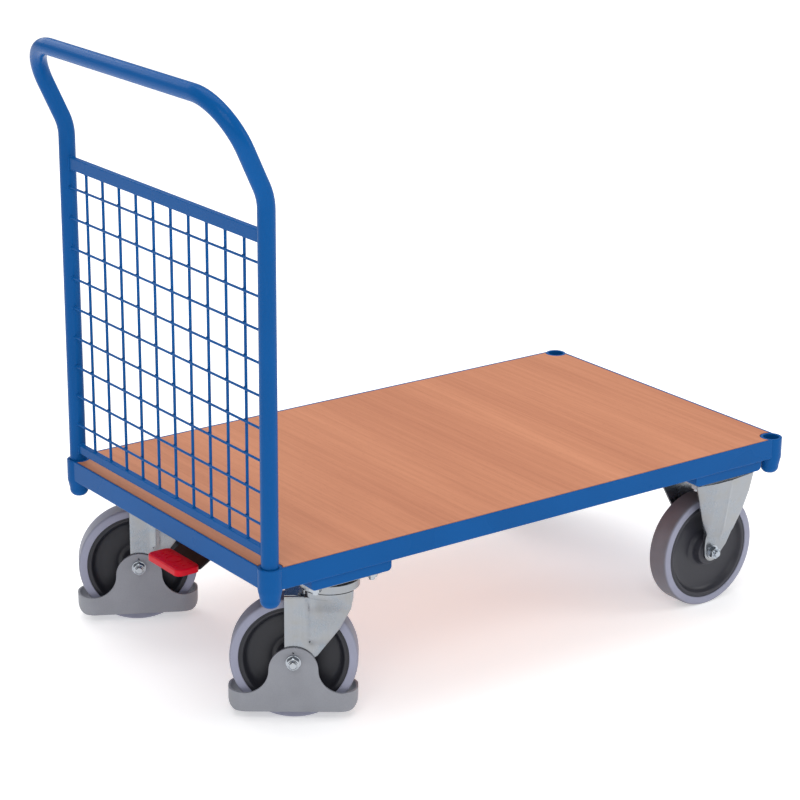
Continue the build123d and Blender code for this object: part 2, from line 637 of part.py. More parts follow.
def brake_plunger_parts():
    """Push rod with its foot plate, and the rubber shoe under it, above the tyre's shoulder."""
    nearest = TRAIL - SHOE_RADIUS
    tyre_height = WHEEL_RADIUS + math.sqrt(WHEEL_RADIUS**2 - nearest**2)
    shoe_bottom = tyre_height + SHOE_END_GAP + PLUNGER_TRAVEL
    shoe_top = shoe_bottom + SHOE_THICKNESS
    plate_top = shoe_top + SHOE_PLATE_THICKNESS
    button_base = PLUNGER_TOP - 3.0
    rod = upright(PLUNGER_RADIUS, plate_top - 1, button_base + 1)
    button = upright(BUTTON_RADIUS, button_base, PLUNGER_TOP)
    button &= Pos(0, 0, PLUNGER_TOP - BUTTON_DOME) * Sphere(BUTTON_DOME)
    plunger = rod + upright(SHOE_RADIUS, shoe_top, plate_top) + button
    shoe = upright(SHOE_RADIUS, shoe_bottom, shoe_top)
    shoe = fillet(shoe.edges().group_by(Axis.Z)[0], 1.5)
    return plunger, shoe


def add_swivel_caster(side_name, side, angle):
    """All parts of one swivel caster: side is +1 on the left, -1 on the right."""
    head = Pos(SWIVEL_X, side * TRACK / 2, 0)
    swivel = head * Rot(0, 0, angle)
    wheel = swivel * Pos(-TRAIL, 0, WHEEL_RADIUS)
    plunger, shoe = brake_plunger_parts()
    parts[f"{side_name}_swivel_top_plate"] = head * top_plate()
    parts[f"{side_name}_kingpin"] = head * kingpin()
    parts[f"{side_name}_brake_plunger"] = head * plunger
    parts[f"{side_name}_brake_shoe"] = head * shoe
    parts[f"{side_name}_swivel_balls"] = swivel * swivel_balls()
    parts[f"{side_name}_swivel_fork"] = swivel * swivel_fork()
    parts[f"{side_name}_foot_guard"] = swivel * Pos(-TRAIL, 0, 0) * foot_guard()
    parts[f"{side_name}_swivel_axle_bolt"] = wheel * axle_bolt(GUARD_HALF_WIDTH)
    parts[f"{side_name}_swivel_axle_nut"] = wheel * axle_nut(GUARD_HALF_WIDTH)
    parts[f"{side_name}_swivel_axle_sleeve"] = wheel * axle_sleeve()
    parts[f"{side_name}_swivel_roller_bearing"] = wheel * roller_bearing()
    parts[f"{side_name}_swivel_rim"] = wheel * rim()
    parts[f"{side_name}_swivel_tyre"] = wheel * tyre()


# Fixed casters ------------------------------------------------------------------------------


def fixed_leg_outline():
    """Side view of a fixed fork leg, as wide as the plate above and round at the axle."""
    outline = polygon(
        (-PLATE_LENGTH / 2 + 1, PLATE_BOTTOM + 1),
        (-53.0, WHEEL_RADIUS + 112),
        (-34.0, WHEEL_RADIUS + 67),
        (-20.0, WHEEL_RADIUS + 37),
        (-16.5, WHEEL_RADIUS),
        (0.0, WHEEL_RADIUS - 10),
        (14.0, WHEEL_RADIUS - 9),
        (31.0, WHEEL_RADIUS + 8),
        (45.5, WHEEL_RADIUS + 33),
        (57.0, WHEEL_RADIUS + 67),
        (63.5, WHEEL_RADIUS + 105),
        (PLATE_LENGTH / 2 - 1, PLATE_BOTTOM + 1),
    )
    return outline + Pos(0, WHEEL_RADIUS) * Circle(16.5)


def fixed_fork():
    """Plate and two legs in one pressing: the legs lean in from the plate's long edges."""
    knee = WHEEL_RADIUS + 28
    sheet = polygon(
        (FORK_INNER, WHEEL_RADIUS - 20),
        (FORK_OUTER, WHEEL_RADIUS - 20),
        (FORK_OUTER, knee),
        (PLATE_WIDTH / 2, PLATE_BOTTOM + 1),
        (PLATE_WIDTH / 2 - FORK_SHEET - 0.3, PLATE_BOTTOM + 1),
        (FORK_INNER, knee + 0.5),
    )
    leg = extrude(Plane.YZ * sheet, amount=PLATE_LENGTH, both=True)
    leg &= side_plate(fixed_leg_outline(), 0, PLATE_WIDTH)
    fork = mounting_plate() + leg + mirror(leg, Plane.XZ)
    return fork - crosswise(AXLE_HOLE, -100, 100, 0, WHEEL_RADIUS)


def add_fixed_casters():
    """Both fixed casters; their axle bolts, nuts and sleeves are alike and share nodes."""
    bolts, nuts, sleeves = [], [], []
    for side_name, side in (("left", 1), ("right", -1)):
        head = Pos(FIXED_X, side * TRACK / 2, 0)
        wheel = head * Pos(0, 0, WHEEL_RADIUS)
        parts[f"{side_name}_fixed_fork"] = head * fixed_fork()
        parts[f"{side_name}_fixed_roller_bearing"] = wheel * roller_bearing()
        parts[f"{side_name}_fixed_rim"] = wheel * rim()
        parts[f"{side_name}_fixed_tyre"] = wheel * tyre()
        bolts.append(wheel * axle_bolt(FORK_OUTER))
        nuts.append(wheel * axle_nut(FORK_OUTER))
        sleeves.append(wheel * axle_sleeve())
    parts["fixed_axle_bolts"] = group(bolts)
    parts["fixed_axle_nuts"] = group(nuts)
    parts["fixed_axle_sleeves"] = group(sleeves)


def add_caster_bolts():
    """Sixteen hexagon bolts down through the cross channels, with a nut under each plate."""
    floor = CHANNEL_BOTTOM + CHANNEL_WALL
    nut_bottom = PLATE_BOTTOM - CASTER_NUT_HEIGHT
    bolt = upright(CASTER_BOLT_RADIUS, nut_bottom - CASTER_BOLT_TAIL, floor + 1)
    bolt += hexagon_on_z(CASTER_BOLT_FLATS, floor, floor + CASTER_HEAD_HEIGHT)
    nut = hexagon_on_z(CASTER_BOLT_FLATS, nut_bottom, PLATE_BOTTOM)
    nut -= upright(CASTER_BOLT_RADIUS + RUNNING_GAP, nut_bottom - 1, PLATE_BOTTOM + 1)
    places = []
    for x in (SWIVEL_X, FIXED_X):
        for y in (-TRACK / 2, TRACK / 2):
            places += [Pos(x + dx, y + dy, 0) for dx, dy in caster_bolt_places()]
    parts["caster_bolts"] = group(place * bolt for place in places)
    parts["caster_nuts"] = group(place * nut for place in places)


# Brake linkage ------------------------------------------------------------------------------


def brake_shaft():
    """Cross shaft with a finger over each plunger."""
    end = TRACK / 2 + SHAFT_OVERHANG
    body = crosswise(SHAFT_RADIUS, -end, end, SHAFT_X, SHAFT_HEIGHT)
    finger_bottom = PLUNGER_TOP + FINGER_GAP
    for y in (-TRACK / 2, TRACK / 2):
        y0, y1 = y - FINGER_WIDTH / 2, y + FINGER_WIDTH / 2
        body += crosswise(SHAFT_RADIUS + 4, y0, y1, SHAFT_X, SHAFT_HEIGHT)
        tip = block(SWIVEL_X - 6, SHAFT_X, y0, y1, finger_bottom, SHAFT_HEIGHT + 4)
        body += fillet(tip.edges().filter_by(Axis.Y).group_by(Axis.X)[0], 3.0)
    return body


def shaft_bracket(side):
    """Angle bracket that stands on the channel floor and carries the shaft."""
    floor = CHANNEL_BOTTOM + CHANNEL_WALL
    y = side * (TRACK / 2 - BRACKET_INSET)
    wall = block(SHAFT_X - 14, SHAFT_X + 14, y, y + BRACKET_SHEET, floor, SHAFT_HEIGHT + 12)
    foot = block(SHAFT_X - 14, SHAFT_X + 14, y - 18, y, floor, floor + BRACKET_SHEET)
    hole = crosswise(SHAFT_RADIUS + RUNNING_GAP, y - 1, y + BRACKET_SHEET + 1, SHAFT_X, SHAFT_HEIGHT)
    return wall + foot - hole


def pedal_arm():
    """Bent pedal plate with a flat arm up to the hub on the cross shaft."""
    sheet = PEDAL_PLATE_TOP - PEDAL_PLATE_BOTTOM
    slope = math.radians(SHANK_ANGLE)
    shank_x = PEDAL_FRONT_X + SHANK_RUN
    shank_z = PEDAL_PLATE_BOTTOM + SHANK_RUN * math.tan(slope)
    rise_x, rise_z = sheet * math.sin(slope), sheet * math.cos(slope)
    plate = polygon(
        (PEDAL_BACK_X, PEDAL_PLATE_BOTTOM),
        (PEDAL_FRONT_X, PEDAL_PLATE_BOTTOM),
        (shank_x, shank_z),
        (shank_x - rise_x, shank_z + rise_z),
        (PEDAL_FRONT_X - rise_x, PEDAL_PLATE_TOP),
        (PEDAL_BACK_X, PEDAL_PLATE_TOP),
    )
    body = side_plate(plate, PEDAL_Y - PEDAL_WIDTH / 2, PEDAL_Y + PEDAL_WIDTH / 2)
    arm = polygon(
        (SHAFT_X, SHAFT_HEIGHT - 8),
        (shank_x - 14, shank_z - 8),
        (shank_x - 3, shank_z + 8),
        (SHAFT_X, SHAFT_HEIGHT + 8),
    )
    half = ARM_THICKNESS / 2
    body += side_plate(arm, PEDAL_Y - half, PEDAL_Y + half)
    body += crosswise(SHAFT_RADIUS + 5, PEDAL_Y - half - 3, PEDAL_Y + half + 3, SHAFT_X, SHAFT_HEIGHT)
    return body - crosswise(SHAFT_RADIUS, PEDAL_Y - 30, PEDAL_Y + 30, SHAFT_X, SHAFT_HEIGHT)


def pedal_tread():
    """Moulded cover over the pedal plate, with a raised ring and rows of grip studs."""
    depth = PEDAL_DEPTH + TREAD_LAP_X - 3.0
    width = PEDAL_WIDTH + 2 * TREAD_LAP_Y
    slab = extrude(RectangleRounded(depth, width, 10.0), amount=TREAD_HEIGHT + TREAD_SKIRT)
    slab = fillet(slab.edges().group_by(Axis.Z)[-1], 2.5)
    ring = Cylinder(14.0, 1.6) - Cylinder(11.5, 2.0)
    top = TREAD_HEIGHT + TREAD_SKIRT
    slab += Pos(0, 0, top) * ring
    for column in (-1, 0, 1):
        for row in (-31, -23, 23, 31):
            slab += Pos(column * 12, row, top) * Cylinder(2.4, 1.6)
    centre_x = PEDAL_BACK_X - TREAD_LAP_X + depth / 2
    tread = Pos(centre_x, PEDAL_Y, PEDAL_PLATE_TOP - TREAD_SKIRT) * slab
    half_y = PEDAL_WIDTH / 2 + TREAD_PLATE_GAP
    return tread - block(PEDAL_BACK_X - TREAD_PLATE_GAP, PEDAL_FRONT_X + 20, PEDAL_Y - half_y,
                         PEDAL_Y + half_y, PEDAL_PLATE_BOTTOM - 20, PEDAL_PLATE_TOP)


# The whole truck ----------------------------------------------------------------------------

parts["left_rail"] = long_rail(1)
parts["right_rail"] = long_rail(-1)
parts["front_rail"] = cross_rail(1)
parts["rear_rail"] = cross_rail(-1)
parts["rear_corner_sockets"] = group(corner_socket(x, y) for x, y in socket_places()[:2])
parts["front_corner_sockets"] = group(corner_socket(x, y) for x, y in socket_places()[2:])
parts["deck_board"] = deck_board()
parts["board_screws"] = group(board_screw(x, y) for x, y in board_screw_places())
parts["front_cross_channel"] = cross_channel(FIXED_X, 0)
parts["rear_cross_channel"] = rear_channel()
parts["handle_tube"] = handle_tube()
parts["top_crossbar"] = crossbar(TOP_BAR_BOTTOM, TOP_BAR_TOP)
parts["lower_crossbar"] = crossbar(LOW_BAR_BOTTOM, LOW_BAR_TOP)
parts["vertical_wires"] = vertical_wires()
parts["horizontal_wires"] = horizontal_wires()
add_swivel_caster("right", -1, RIGHT_SWIVEL_ANGLE)
add_swivel_caster("left", 1, LEFT_SWIVEL_ANGLE)
add_fixed_casters()
add_caster_bolts()
parts["brake_shaft"] = brake_shaft()
parts["shaft_brackets"] = group(shaft_bracket(side) for side in (-1, 1))
parts["pedal_arm"] = pedal_arm()
parts["pedal_tread"] = pedal_tread()

os.makedirs("parts", exist_ok=True)
to_deck_top = Pos(0, 0, -DECK_HEIGHT)
for name, shape in parts.items():
    export_step(to_deck_top * shape, f"parts/{name}.step")
print(len(parts), "parts")
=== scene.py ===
import json
import math

import bmesh
import bpy
from mathutils import Matrix, Vector


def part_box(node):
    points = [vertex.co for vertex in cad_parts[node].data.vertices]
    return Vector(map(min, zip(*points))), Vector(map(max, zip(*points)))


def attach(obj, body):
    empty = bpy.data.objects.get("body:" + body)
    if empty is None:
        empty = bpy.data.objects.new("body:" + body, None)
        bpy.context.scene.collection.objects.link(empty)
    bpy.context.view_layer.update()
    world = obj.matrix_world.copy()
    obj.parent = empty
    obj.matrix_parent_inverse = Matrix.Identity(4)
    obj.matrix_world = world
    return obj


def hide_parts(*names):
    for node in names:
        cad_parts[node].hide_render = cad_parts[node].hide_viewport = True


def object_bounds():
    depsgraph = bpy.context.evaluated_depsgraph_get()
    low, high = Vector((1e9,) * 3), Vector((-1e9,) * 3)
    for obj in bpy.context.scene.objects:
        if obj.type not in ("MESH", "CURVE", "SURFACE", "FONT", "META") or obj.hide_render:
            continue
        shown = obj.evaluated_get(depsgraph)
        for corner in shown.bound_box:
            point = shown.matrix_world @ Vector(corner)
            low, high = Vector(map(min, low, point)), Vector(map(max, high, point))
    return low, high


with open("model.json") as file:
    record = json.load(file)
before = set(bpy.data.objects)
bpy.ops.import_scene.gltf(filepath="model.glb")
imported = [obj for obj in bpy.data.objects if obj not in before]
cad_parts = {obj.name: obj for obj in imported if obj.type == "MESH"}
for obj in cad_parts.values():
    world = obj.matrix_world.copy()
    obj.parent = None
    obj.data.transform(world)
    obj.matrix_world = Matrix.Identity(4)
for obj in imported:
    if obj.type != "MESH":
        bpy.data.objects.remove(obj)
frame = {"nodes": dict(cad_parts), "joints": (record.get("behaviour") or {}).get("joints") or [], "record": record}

# Looks of the flatbed platform truck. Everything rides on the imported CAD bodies. Wheels, forks,
# nuts and bolts are drawn in millimetres in their own axes, and placed by the matrices below.
# Edges of CAD nodes, weld beads, the camera, the floor and the lights are in metres.

cad_low, cad_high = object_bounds()
FLOOR = cad_low.z
MM = 0.001
SIDES = ("right", "left")
WAYS = (-1, 1)
JOINTS = {joint["name"]: joint for joint in frame["joints"]}


# Places ------------------------------------------------------------------------------------


def joint_place(name):
    return Vector(JOINTS[name]["pos_m"])


def placed(x, y, angle):
    """Millimetres above the floor, turned about Z, to metres in the row frame."""
    place = Matrix.Translation((x, y, FLOOR)) @ Matrix.Rotation(angle, 4, "Z")
    return place @ Matrix.Scale(MM, 4)


def trail_angle(side):
    """How far a swivel caster is turned about Z from its wheel trailing toward -X."""
    trail = joint_place(f"{side}_swivel") - joint_place(f"{side}_swivel_wheel_spin")
    return math.atan2(trail.y, trail.x)


def swivel_place(side):
    """Swivel axis on Z, with the wheel trailing toward -X."""
    head = joint_place(f"{side}_swivel")
    return placed(head.x, head.y, trail_angle(side))


def axle_place(side, kind):
    """The middle of a wheel, with its axle along Y."""
    turn = trail_angle(side) if kind == "swivel" else 0.0
    middle = Matrix.Translation(joint_place(f"{side}_{kind}_wheel_spin"))
    return middle @ Matrix.Rotation(turn, 4, "Z") @ Matrix.Scale(MM, 4)


# Materials ---------------------------------------------------------------------------------

WHITE = (1.0, 1.0, 1.0)
USUAL_NOISE = (0.3, 0.7)  # most of a noise texture's values lie between these


def node(tree, kind, inputs=None, **settings):
    """A shader node. A socket in inputs gets a number, a colour or another node's output."""
    made = tree.nodes.new("ShaderNode" + kind)
    for name, value in settings.items():
        setattr(made, name, value)
    for socket, value in (inputs or {}).items():
        if isinstance(value, bpy.types.NodeSocket):
            tree.links.new(value, made.inputs[socket])
        else:
            made.inputs[socket].default_value = value
    return made


def principled(name, **sockets):
    """A new material with these constants on its shader. Returns it, its tree and the shader."""
    made = bpy.data.materials.new(name)
    made.use_nodes = True
    shader = made.node_tree.nodes["Principled BSDF"]
    for socket, value in sockets.items():
        shader.inputs[socket.replace("_", " ")].default_value = value
    return made, made.node_tree, shader


def stretched(tree, scale):
    """The piece's own coordinates in metres, scaled along each axis."""
    place = node(tree, "TexCoord").outputs["Object"]
    return node(tree, "Mapping", {"Vector": place, "Scale": scale}).outputs["Vector"]


def clouds(tree, scale, detail=3.0, roughness=0.5, distortion=0.0):
    """Noise from 0 to 1. Scale is one number, or one for each axis."""
    scale = (scale,) * 3 if isinstance(scale, (int, float)) else scale
    inputs = {
        "Vector": stretched(tree, scale),
        "Scale": 1.0,
        "Detail": detail,
        "Roughness": roughness,
        "Distortion": distortion,
    }
    return node(tree, "TexNoise", inputs).outputs["Fac"]


def spread(tree, value, low, high, to_low, to_high):
    """A value mapped straight from one range to another."""
    inputs = {
        "Value": value,
        "From Min": low,
        "From Max": high,
        "To Min": to_low,
        "To Max": to_high,
    }
    return node(tree, "MapRange", inputs).outputs["Result"]


def varied(tree, noise, low, high):
    """A noise texture's usual values mapped to this range."""
    return spread(tree, noise, *USUAL_NOISE, low, high)


def tinted(tree, factor, *stops):
    """A colour ramp over factor, with (position, colour) stops."""
    ramp = node(tree, "ValToRGB", {"Fac": factor})
    elements = ramp.color_ramp.elements
    while len(elements) < len(stops):
        elements.new(0.5)
    for element, (position, colour) in zip(elements, stops):
        element.position = position
        element.color = (*colour, 1.0)
    return ramp.outputs["Color"]


def mixed(tree, kind, factor, first, second):
    """Two colours put together, with one of Blender's blend types."""
    inputs = {0: factor, 6: first, 7: second}
    return node(tree, "Mix", inputs, data_type="RGBA", blend_type=kind).outputs[2]


def multiplied(tree, first, second, factor=1.0):
    return mixed(tree, "MULTIPLY", factor, first, second)


def bumped(tree, height, strength, distance, under=None):
    """A bump's normal, laid over another bump if one is given."""
    inputs = {"Height": height, "Strength": strength, "Distance": distance}
    if under is not None:
        inputs["Normal"] = under
    return node(tree, "Bump", inputs).outputs["Normal"]


def linked(tree, shader, **outputs):
    """Links outputs to the shader's sockets of these names."""
    for socket, output in outputs.items():
        tree.links.new(output, shader.inputs[socket.replace("_", " ")])


def brighter(colour, share):
    return tuple(min(1.0, c * share) for c in colour)


def grey(level):
    return (level,) * 3


def powder_coat(name, colour):
    """Gloss powder coat: a faint orange peel, slow drifts of tone and a clear top."""
    made, tree, shader = principled(
        name, Specular_IOR_Level=0.06, Coat_Weight=0.03, Coat_Roughness=0.07)
    drift = clouds(tree, 7.0, detail=2.0)
    fine = clouds(tree, 420.0, detail=2.0)
    peel = clouds(tree, 300.0, detail=1.0)
    tone = tinted(tree, drift, (0.25, brighter(colour, 0.93)), (0.75, brighter(colour, 1.06)))
    speckle = tinted(tree, fine, (0.35, grey(0.96)), (0.65, WHITE))
    linked(tree, shader,
           Base_Color=multiplied(tree, tone, speckle),
           Roughness=varied(tree, drift, 0.24, 0.33),
           Normal=bumped(tree, peel, 0.05, 0.0002))
    return made


def beech_board(name):
    """Sealed beech: fine fibre across the truck, short dark rays and broad bands of tone."""
    made, tree, shader = principled(
        name, Specular_IOR_Level=0.4, Coat_Weight=0.12, Coat_Roughness=0.3)
    bands = clouds(tree, (9.0, 0.7, 9.0), detail=3.0, roughness=0.55, distortion=0.6)
    grain = clouds(tree, (120.0, 2.2, 120.0), detail=4.0, roughness=0.6, distortion=0.25)
    fibre = clouds(tree, (900.0, 14.0, 900.0), detail=3.0, roughness=0.65)
    rays = clouds(tree, (620.0, 70.0, 620.0), detail=1.0)
    dark, middle, light = (0.565, 0.210, 0.106), (0.630, 0.246, 0.126), (0.690, 0.280, 0.146)
    tone = tinted(tree, bands, (0.28, dark), (0.5, middle), (0.74, light))
    streak = tinted(tree, grain, (0.3, (0.88, 0.86, 0.85)), (0.62, WHITE))
    hair = tinted(tree, fibre, (0.3, (0.92, 0.90, 0.89)), (0.6, WHITE))
    fleck = tinted(tree, rays, (0.30, (0.86, 0.80, 0.78)), (0.37, WHITE))
    colour = multiplied(tree, multiplied(tree, tone, streak), hair)
    relief = bumped(tree, fibre, 0.12, 0.0002)
    linked(tree, shader,
           Base_Color=multiplied(tree, colour, fleck, 0.7),
           Roughness=varied(tree, grain, 0.50, 0.40),
           Normal=bumped(tree, rays, 0.06, 0.0002, relief))
    return made


def zinc_plate(name, colour, rough_low, rough_high):
    """Zinc plated pressed steel: soft cloudy bloom, drawn lines and a faint blue passivation."""
    made, tree, shader = principled(name, Metallic=1.0)
    bloom = clouds(tree, 34.0, detail=4.0, roughness=0.6, distortion=0.4)
    drawn = clouds(tree, (420.0, 420.0, 16.0), detail=3.0, roughness=0.6)
    warm = tuple(c * k for c, k in zip(colour, (0.98, 0.955, 0.90)))
    cool = tuple(c * k for c, k in zip(colour, (0.93, 0.99, 1.04)))
    tone = tinted(tree, bloom, (0.3, warm), (0.5, colour), (0.7, cool))
    lines = tinted(tree, drawn, (0.25, grey(0.93)), (0.65, WHITE))
    smear = varied(tree, bloom, rough_low, rough_high)
    scratch = varied(tree, drawn, -0.035, 0.035)
    linked(tree, shader,
           Base_Color=multiplied(tree, tone, lines),
           Roughness=node(tree, "Math", {0: smear, 1: scratch}, operation="ADD").outputs[0],
           Normal=bumped(tree, drawn, 0.08, 0.0001))
    return made


def moulded(name, colour, rough, grain, strength, drift_share=0.06, specular=0.4):
    """Moulded plastic or rubber: an eroded skin with this many grains in a metre."""
    made, tree, shader = principled(name, Specular_IOR_Level=specular)
    drift = clouds(tree, 22.0, detail=3.0)
    skin = clouds(tree, grain, detail=2.0, roughness=0.6)
    low, high = brighter(colour, 1 - drift_share), brighter(colour, 1 + drift_share)
    tone = tinted(tree, drift, (0.3, low), (0.7, high))
    pores = tinted(tree, skin, (0.3, grey(0.93)), (0.6, WHITE))
    linked(tree, shader,
           Base_Color=multiplied(tree, tone, pores),
           Roughness=varied(tree, drift, rough - 0.04, rough + 0.05),
           Normal=bumped(tree, skin, strength, 0.0003))
    return made


def plain_metal(name, colour, rough, metallic=1.0):
    """Turned or blackened steel with a fine uneven sheen."""
    made, tree, shader = principled(name, Metallic=metallic)
    sheen = clouds(tree, 180.0, detail=3.0)
    tone = tinted(tree, sheen, (0.3, brighter(colour, 0.88)), (0.7, brighter(colour, 1.08)))
    linked(tree, shader,
           Base_Color=tone,
           Roughness=varied(tree, sheen, rough - 0.05, rough + 0.07),
           Normal=bumped(tree, sheen, 0.08, 0.0002))
    return made


def tyre_rubber(name, side_colour, tread_shade_colour):
    """Grey elastic rubber, with painted shade on the tread: darker where its distance from the axle is greatest.
    """
    made, tree, shader = principled(name, Specular_IOR_Level=0.35)
    drift = clouds(tree, 30.0, detail=3.0)
    skin = clouds(tree, 700.0, detail=2.0, roughness=0.6)
    tread = node(tree, "Attribute", attribute_name="tread").outputs["Fac"]
    side = tinted(tree, drift, (0.3, brighter(side_colour, 0.95)),
                  (0.7, brighter(side_colour, 1.05)))
    # crown is the tread's colour with painted shade, darker than the side grey
    crown = tinted(tree, drift, (0.3, brighter(tread_shade_colour, 0.9)),
                   (0.7, brighter(tread_shade_colour, 1.08)))
    pores = tinted(tree, skin, (0.3, grey(0.94)), (0.6, WHITE))
    linked(tree, shader,
           Base_Color=multiplied(tree, mixed(tree, "MIX", tread, side, crown), pores),
           Roughness=varied(tree, drift, 0.44, 0.55),
           Normal=bumped(tree, skin, 0.12, 0.0003))
    return made


BLUE = (0.0035, 0.092, 0.318)
# The tread grey is darker than the side grey: painted shade on the tread, not a second rubber
TYRE_SIDE_GREY, TYRE_TREAD_SHADE_GREY = (0.310, 0.320, 0.420), (0.165, 0.165, 0.195)
LOOKS = {
    "blue_paint": powder_coat("gloss_blue_powder_coat", BLUE),
    "beech": beech_board("sealed_beech_board"),
    "zinc": zinc_plate("zinc_plated_pressing", (0.315, 0.330, 0.352), 0.17, 0.30),
    "steel_balls": plain_metal("polished_ball_steel", (0.72, 0.72, 0.74), rough=0.12),
    "tyre_grey": tyre_rubber("grey_elastic_rubber", TYRE_SIDE_GREY, TYRE_TREAD_SHADE_GREY),
    "rim_grey": moulded("dark_grey_polyamide", (0.034, 0.035, 0.046),
                        rough=0.42, grain=520.0, strength=0.14),
    "guard_grey": moulded("mid_grey_guard_plastic", (0.285, 0.295, 0.330),
                          rough=0.46, grain=620.0, strength=0.12),
    "pedal_red": moulded("red_pedal_plastic", (0.58, 0.0025, 0.016), rough=0.32, grain=480.0,
                         strength=0.08, drift_share=0.08, specular=0.15),
    "dark_steel": plain_metal("blackened_steel", (0.030, 0.028, 0.029), rough=0.42, metallic=0.6),
    "brake_rubber": moulded("black_brake_rubber", (0.018, 0.018, 0.019),
                            rough=0.65, grain=800.0, strength=0.2),
}
FASTENER = zinc_plate("bright_zinc_fastener", (0.42, 0.45, 0.49), 0.12, 0.22)
# The swivel rims are a darker copy of the same rim plastic: painted shade, as the swivel wheels stand in shade
SHADED_SWIVEL_RIM = moulded("dark_grey_polyamide_painted_shade", (0.019, 0.020, 0.027),
                     rough=0.42, grain=520.0, strength=0.14)
# Weld beads take the frame's blue a little brighter: a painted highlight where the beads catch the light
WELD = powder_coat("painted_weld_bead", brighter(BLUE, 1.12))


# CAD nodes ---------------------------------------------------------------------------------


MERGE_REACH = 0.000005
FLAT_ANGLE = math.radians(0.6)
EDGE_ANGLE = math.radians(32)
NORMAL_WEIGHT = 60
EDGE = 0.0005
GUARD_EDGE = 0.0012
OWN_EDGES = {
    "deck_board": 0.0006,
    "pedal_arm": 0.0008,
    "handle_tube": 0,
    "vertical_wires": 0,
    "horizontal_wires": 0,
}
ROUND = ("balls", "shaft")
PLATED = ("bolt", "nut", "kingpin", "screws", "sleeve")


def look_of(name, slot_name):
    plated = slot_name == "zinc" and any(word in name for word in PLATED)
    return FASTENER if plated else LOOKS[slot_name]


def edge_of(name):
    """The radius of a node's eased edges."""
    if any(word in name for word in ROUND):
        return 0
    return OWN_EDGES.get(name, GUARD_EDGE if "guard" in name else EDGE)


def finish_node(name, look, edge, segments):
    """A CAD node keeps its shape, and gets its material and eased edges of this radius."""
    part = frame["nodes"][name]
    custom = part.data.attributes.get("custom_normal")
    if custom:
        part.data.attributes.remove(custom)
    part.data.shade_smooth()
    merged = part.modifiers.new("merged", "WELD")
    merged.merge_threshold = MERGE_REACH
    flat = part.modifiers.new("flat", "DECIMATE")
    flat.decimate_type = "DISSOLVE"
    flat.angle_limit = FLAT_ANGLE
    flat.delimit = set()
    if edge:
        bevel = part.modifiers.new("edges", "BEVEL")
        bevel.limit_method = "ANGLE"
        bevel.angle_limit = EDGE_ANGLE
        bevel.width = edge
        bevel.segments = segments
        bevel.use_clamp_overlap = True
        bevel.harden_normals = False
    weighted = part.modifiers.new("shading", "WEIGHTED_NORMAL")
    weighted.keep_sharp = True
    weighted.weight = NORMAL_WEIGHT
    part.data.materials.clear()
    part.data.materials.append(look)


for subpart in frame["record"]["subparts"]:
    name = subpart["node"]
    look = look_of(name, subpart["material_slot"])
    finish_node(name, look, edge_of(name), segments=3 if "guard" in name else 2)


# Mesh helpers ------------------------------------------------------------------------------


def make_piece(name, body, slot_name, look, points, faces, place, replaced=(), sharp=32):
    """A mesh from points in the place's own units, smooth but for edges over sharp degrees."""
    mesh = bpy.data.meshes.new(name)
    mesh.from_pydata([place @ Vector(p) for p in points], [], faces)
    shape = bmesh.new()
    shape.from_mesh(mesh)
    bmesh.ops.recalc_face_normals(shape, faces=shape.faces)
    shape.to_mesh(mesh)
    shape.free()
    mesh.shade_smooth()
    mesh.set_sharp_from_angle(angle=math.radians(sharp))
    mesh.materials.append(look)
    piece = bpy.data.objects.new(name, mesh)
    bpy.context.scene.collection.objects.link(piece)
    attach(piece, body)
    if replaced:
        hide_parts(*replaced)
    return piece


def together(*meshes):
    """Several (points, faces) lists as one."""
    points, faces = [], []
    for more_points, more_faces in meshes:
        start = len(points)
        points += more_points
        faces += [tuple(i + start for i in face) for face in more_faces]
    return points, faces


def full_turn(count):
    return [2 * math.pi * i / count for i in range(count)]


def ringed(rings, joined=False):
    """Rings of equally many points joined in turn: a tube with a face over each end or, if
    joined, a loop whose last ring meets its first."""
    count = len(rings[0])
    starts = [i * count for i in range(len(rings))]
    pairs = list(zip(starts, starts[1:]))
    if joined:
        pairs.append((starts[-1], 0))
    faces = []
    for near, far in pairs:
        for j in range(count):
            k = (j + 1) % count
            faces.append((near + j, near + k, far + k, far + j))
    if not joined:
        faces += [tuple(range(start, start + count)) for start in (0, starts[-1])]
    return [point for ring in rings for point in ring], faces


def lathed(profile, segments, axis="Y"):
    """A closed profile of (radius, along) points turned about an axis."""
    rings = []
    for turn in full_turn(segments):
        across, up = math.cos(turn), math.sin(turn)
        if axis == "Y":
            rings.append([(r * across, along, r * up) for r, along in profile])
        else:
            rings.append([(r * across, r * up, along) for r, along in profile])
    return ringed(rings, joined=True)


EASED_SHARE = 0.45  # the most of an outline's edge that one rounded corner may take


def eased(corners, radius=0.0, steps=4):
    """A closed outline with its corners rounded. A corner may carry its own radius third."""
    made = []
    for i, corner in enumerate(corners):
        own = corner[2] if len(corner) > 2 else radius
        here = Vector(corner[:2])
        before = Vector(corners[i - 1][:2]) - here
        after = Vector(corners[(i + 1) % len(corners)][:2]) - here
        reach = min(own, before.length * EASED_SHARE, after.length * EASED_SHARE)
        start, end = here + before.normalized() * reach, here + after.normalized() * reach
        for step in range(steps + 1):
            t = step / steps
            point = start * (1 - t) ** 2 + here * 2 * t * (1 - t) + end * t**2
            made.append((point.x, point.y))
    return made


def moved(mesh, matrix):
    points, faces = mesh
    return [tuple(matrix @ Vector(p)) for p in points], faces


def ramped(value, low, high):
    """0 below low, 1 above high and smooth between."""
    t = max(0.0, min(1.0, (value - low) / (high - low)))
    return t * t * (3 - 2 * t)


def along_table(table, value):
    """The second number of a table of (key, number), straight between its keys."""
    for (k0, v0), (k1, v1) in zip(table, table[1:]):
        if value <= k1:
            return v0 + (v1 - v0) * max(0.0, value - k0) / (k1 - k0)
    return table[-1][1]


# Wheels ------------------------------------------------------------------------------------

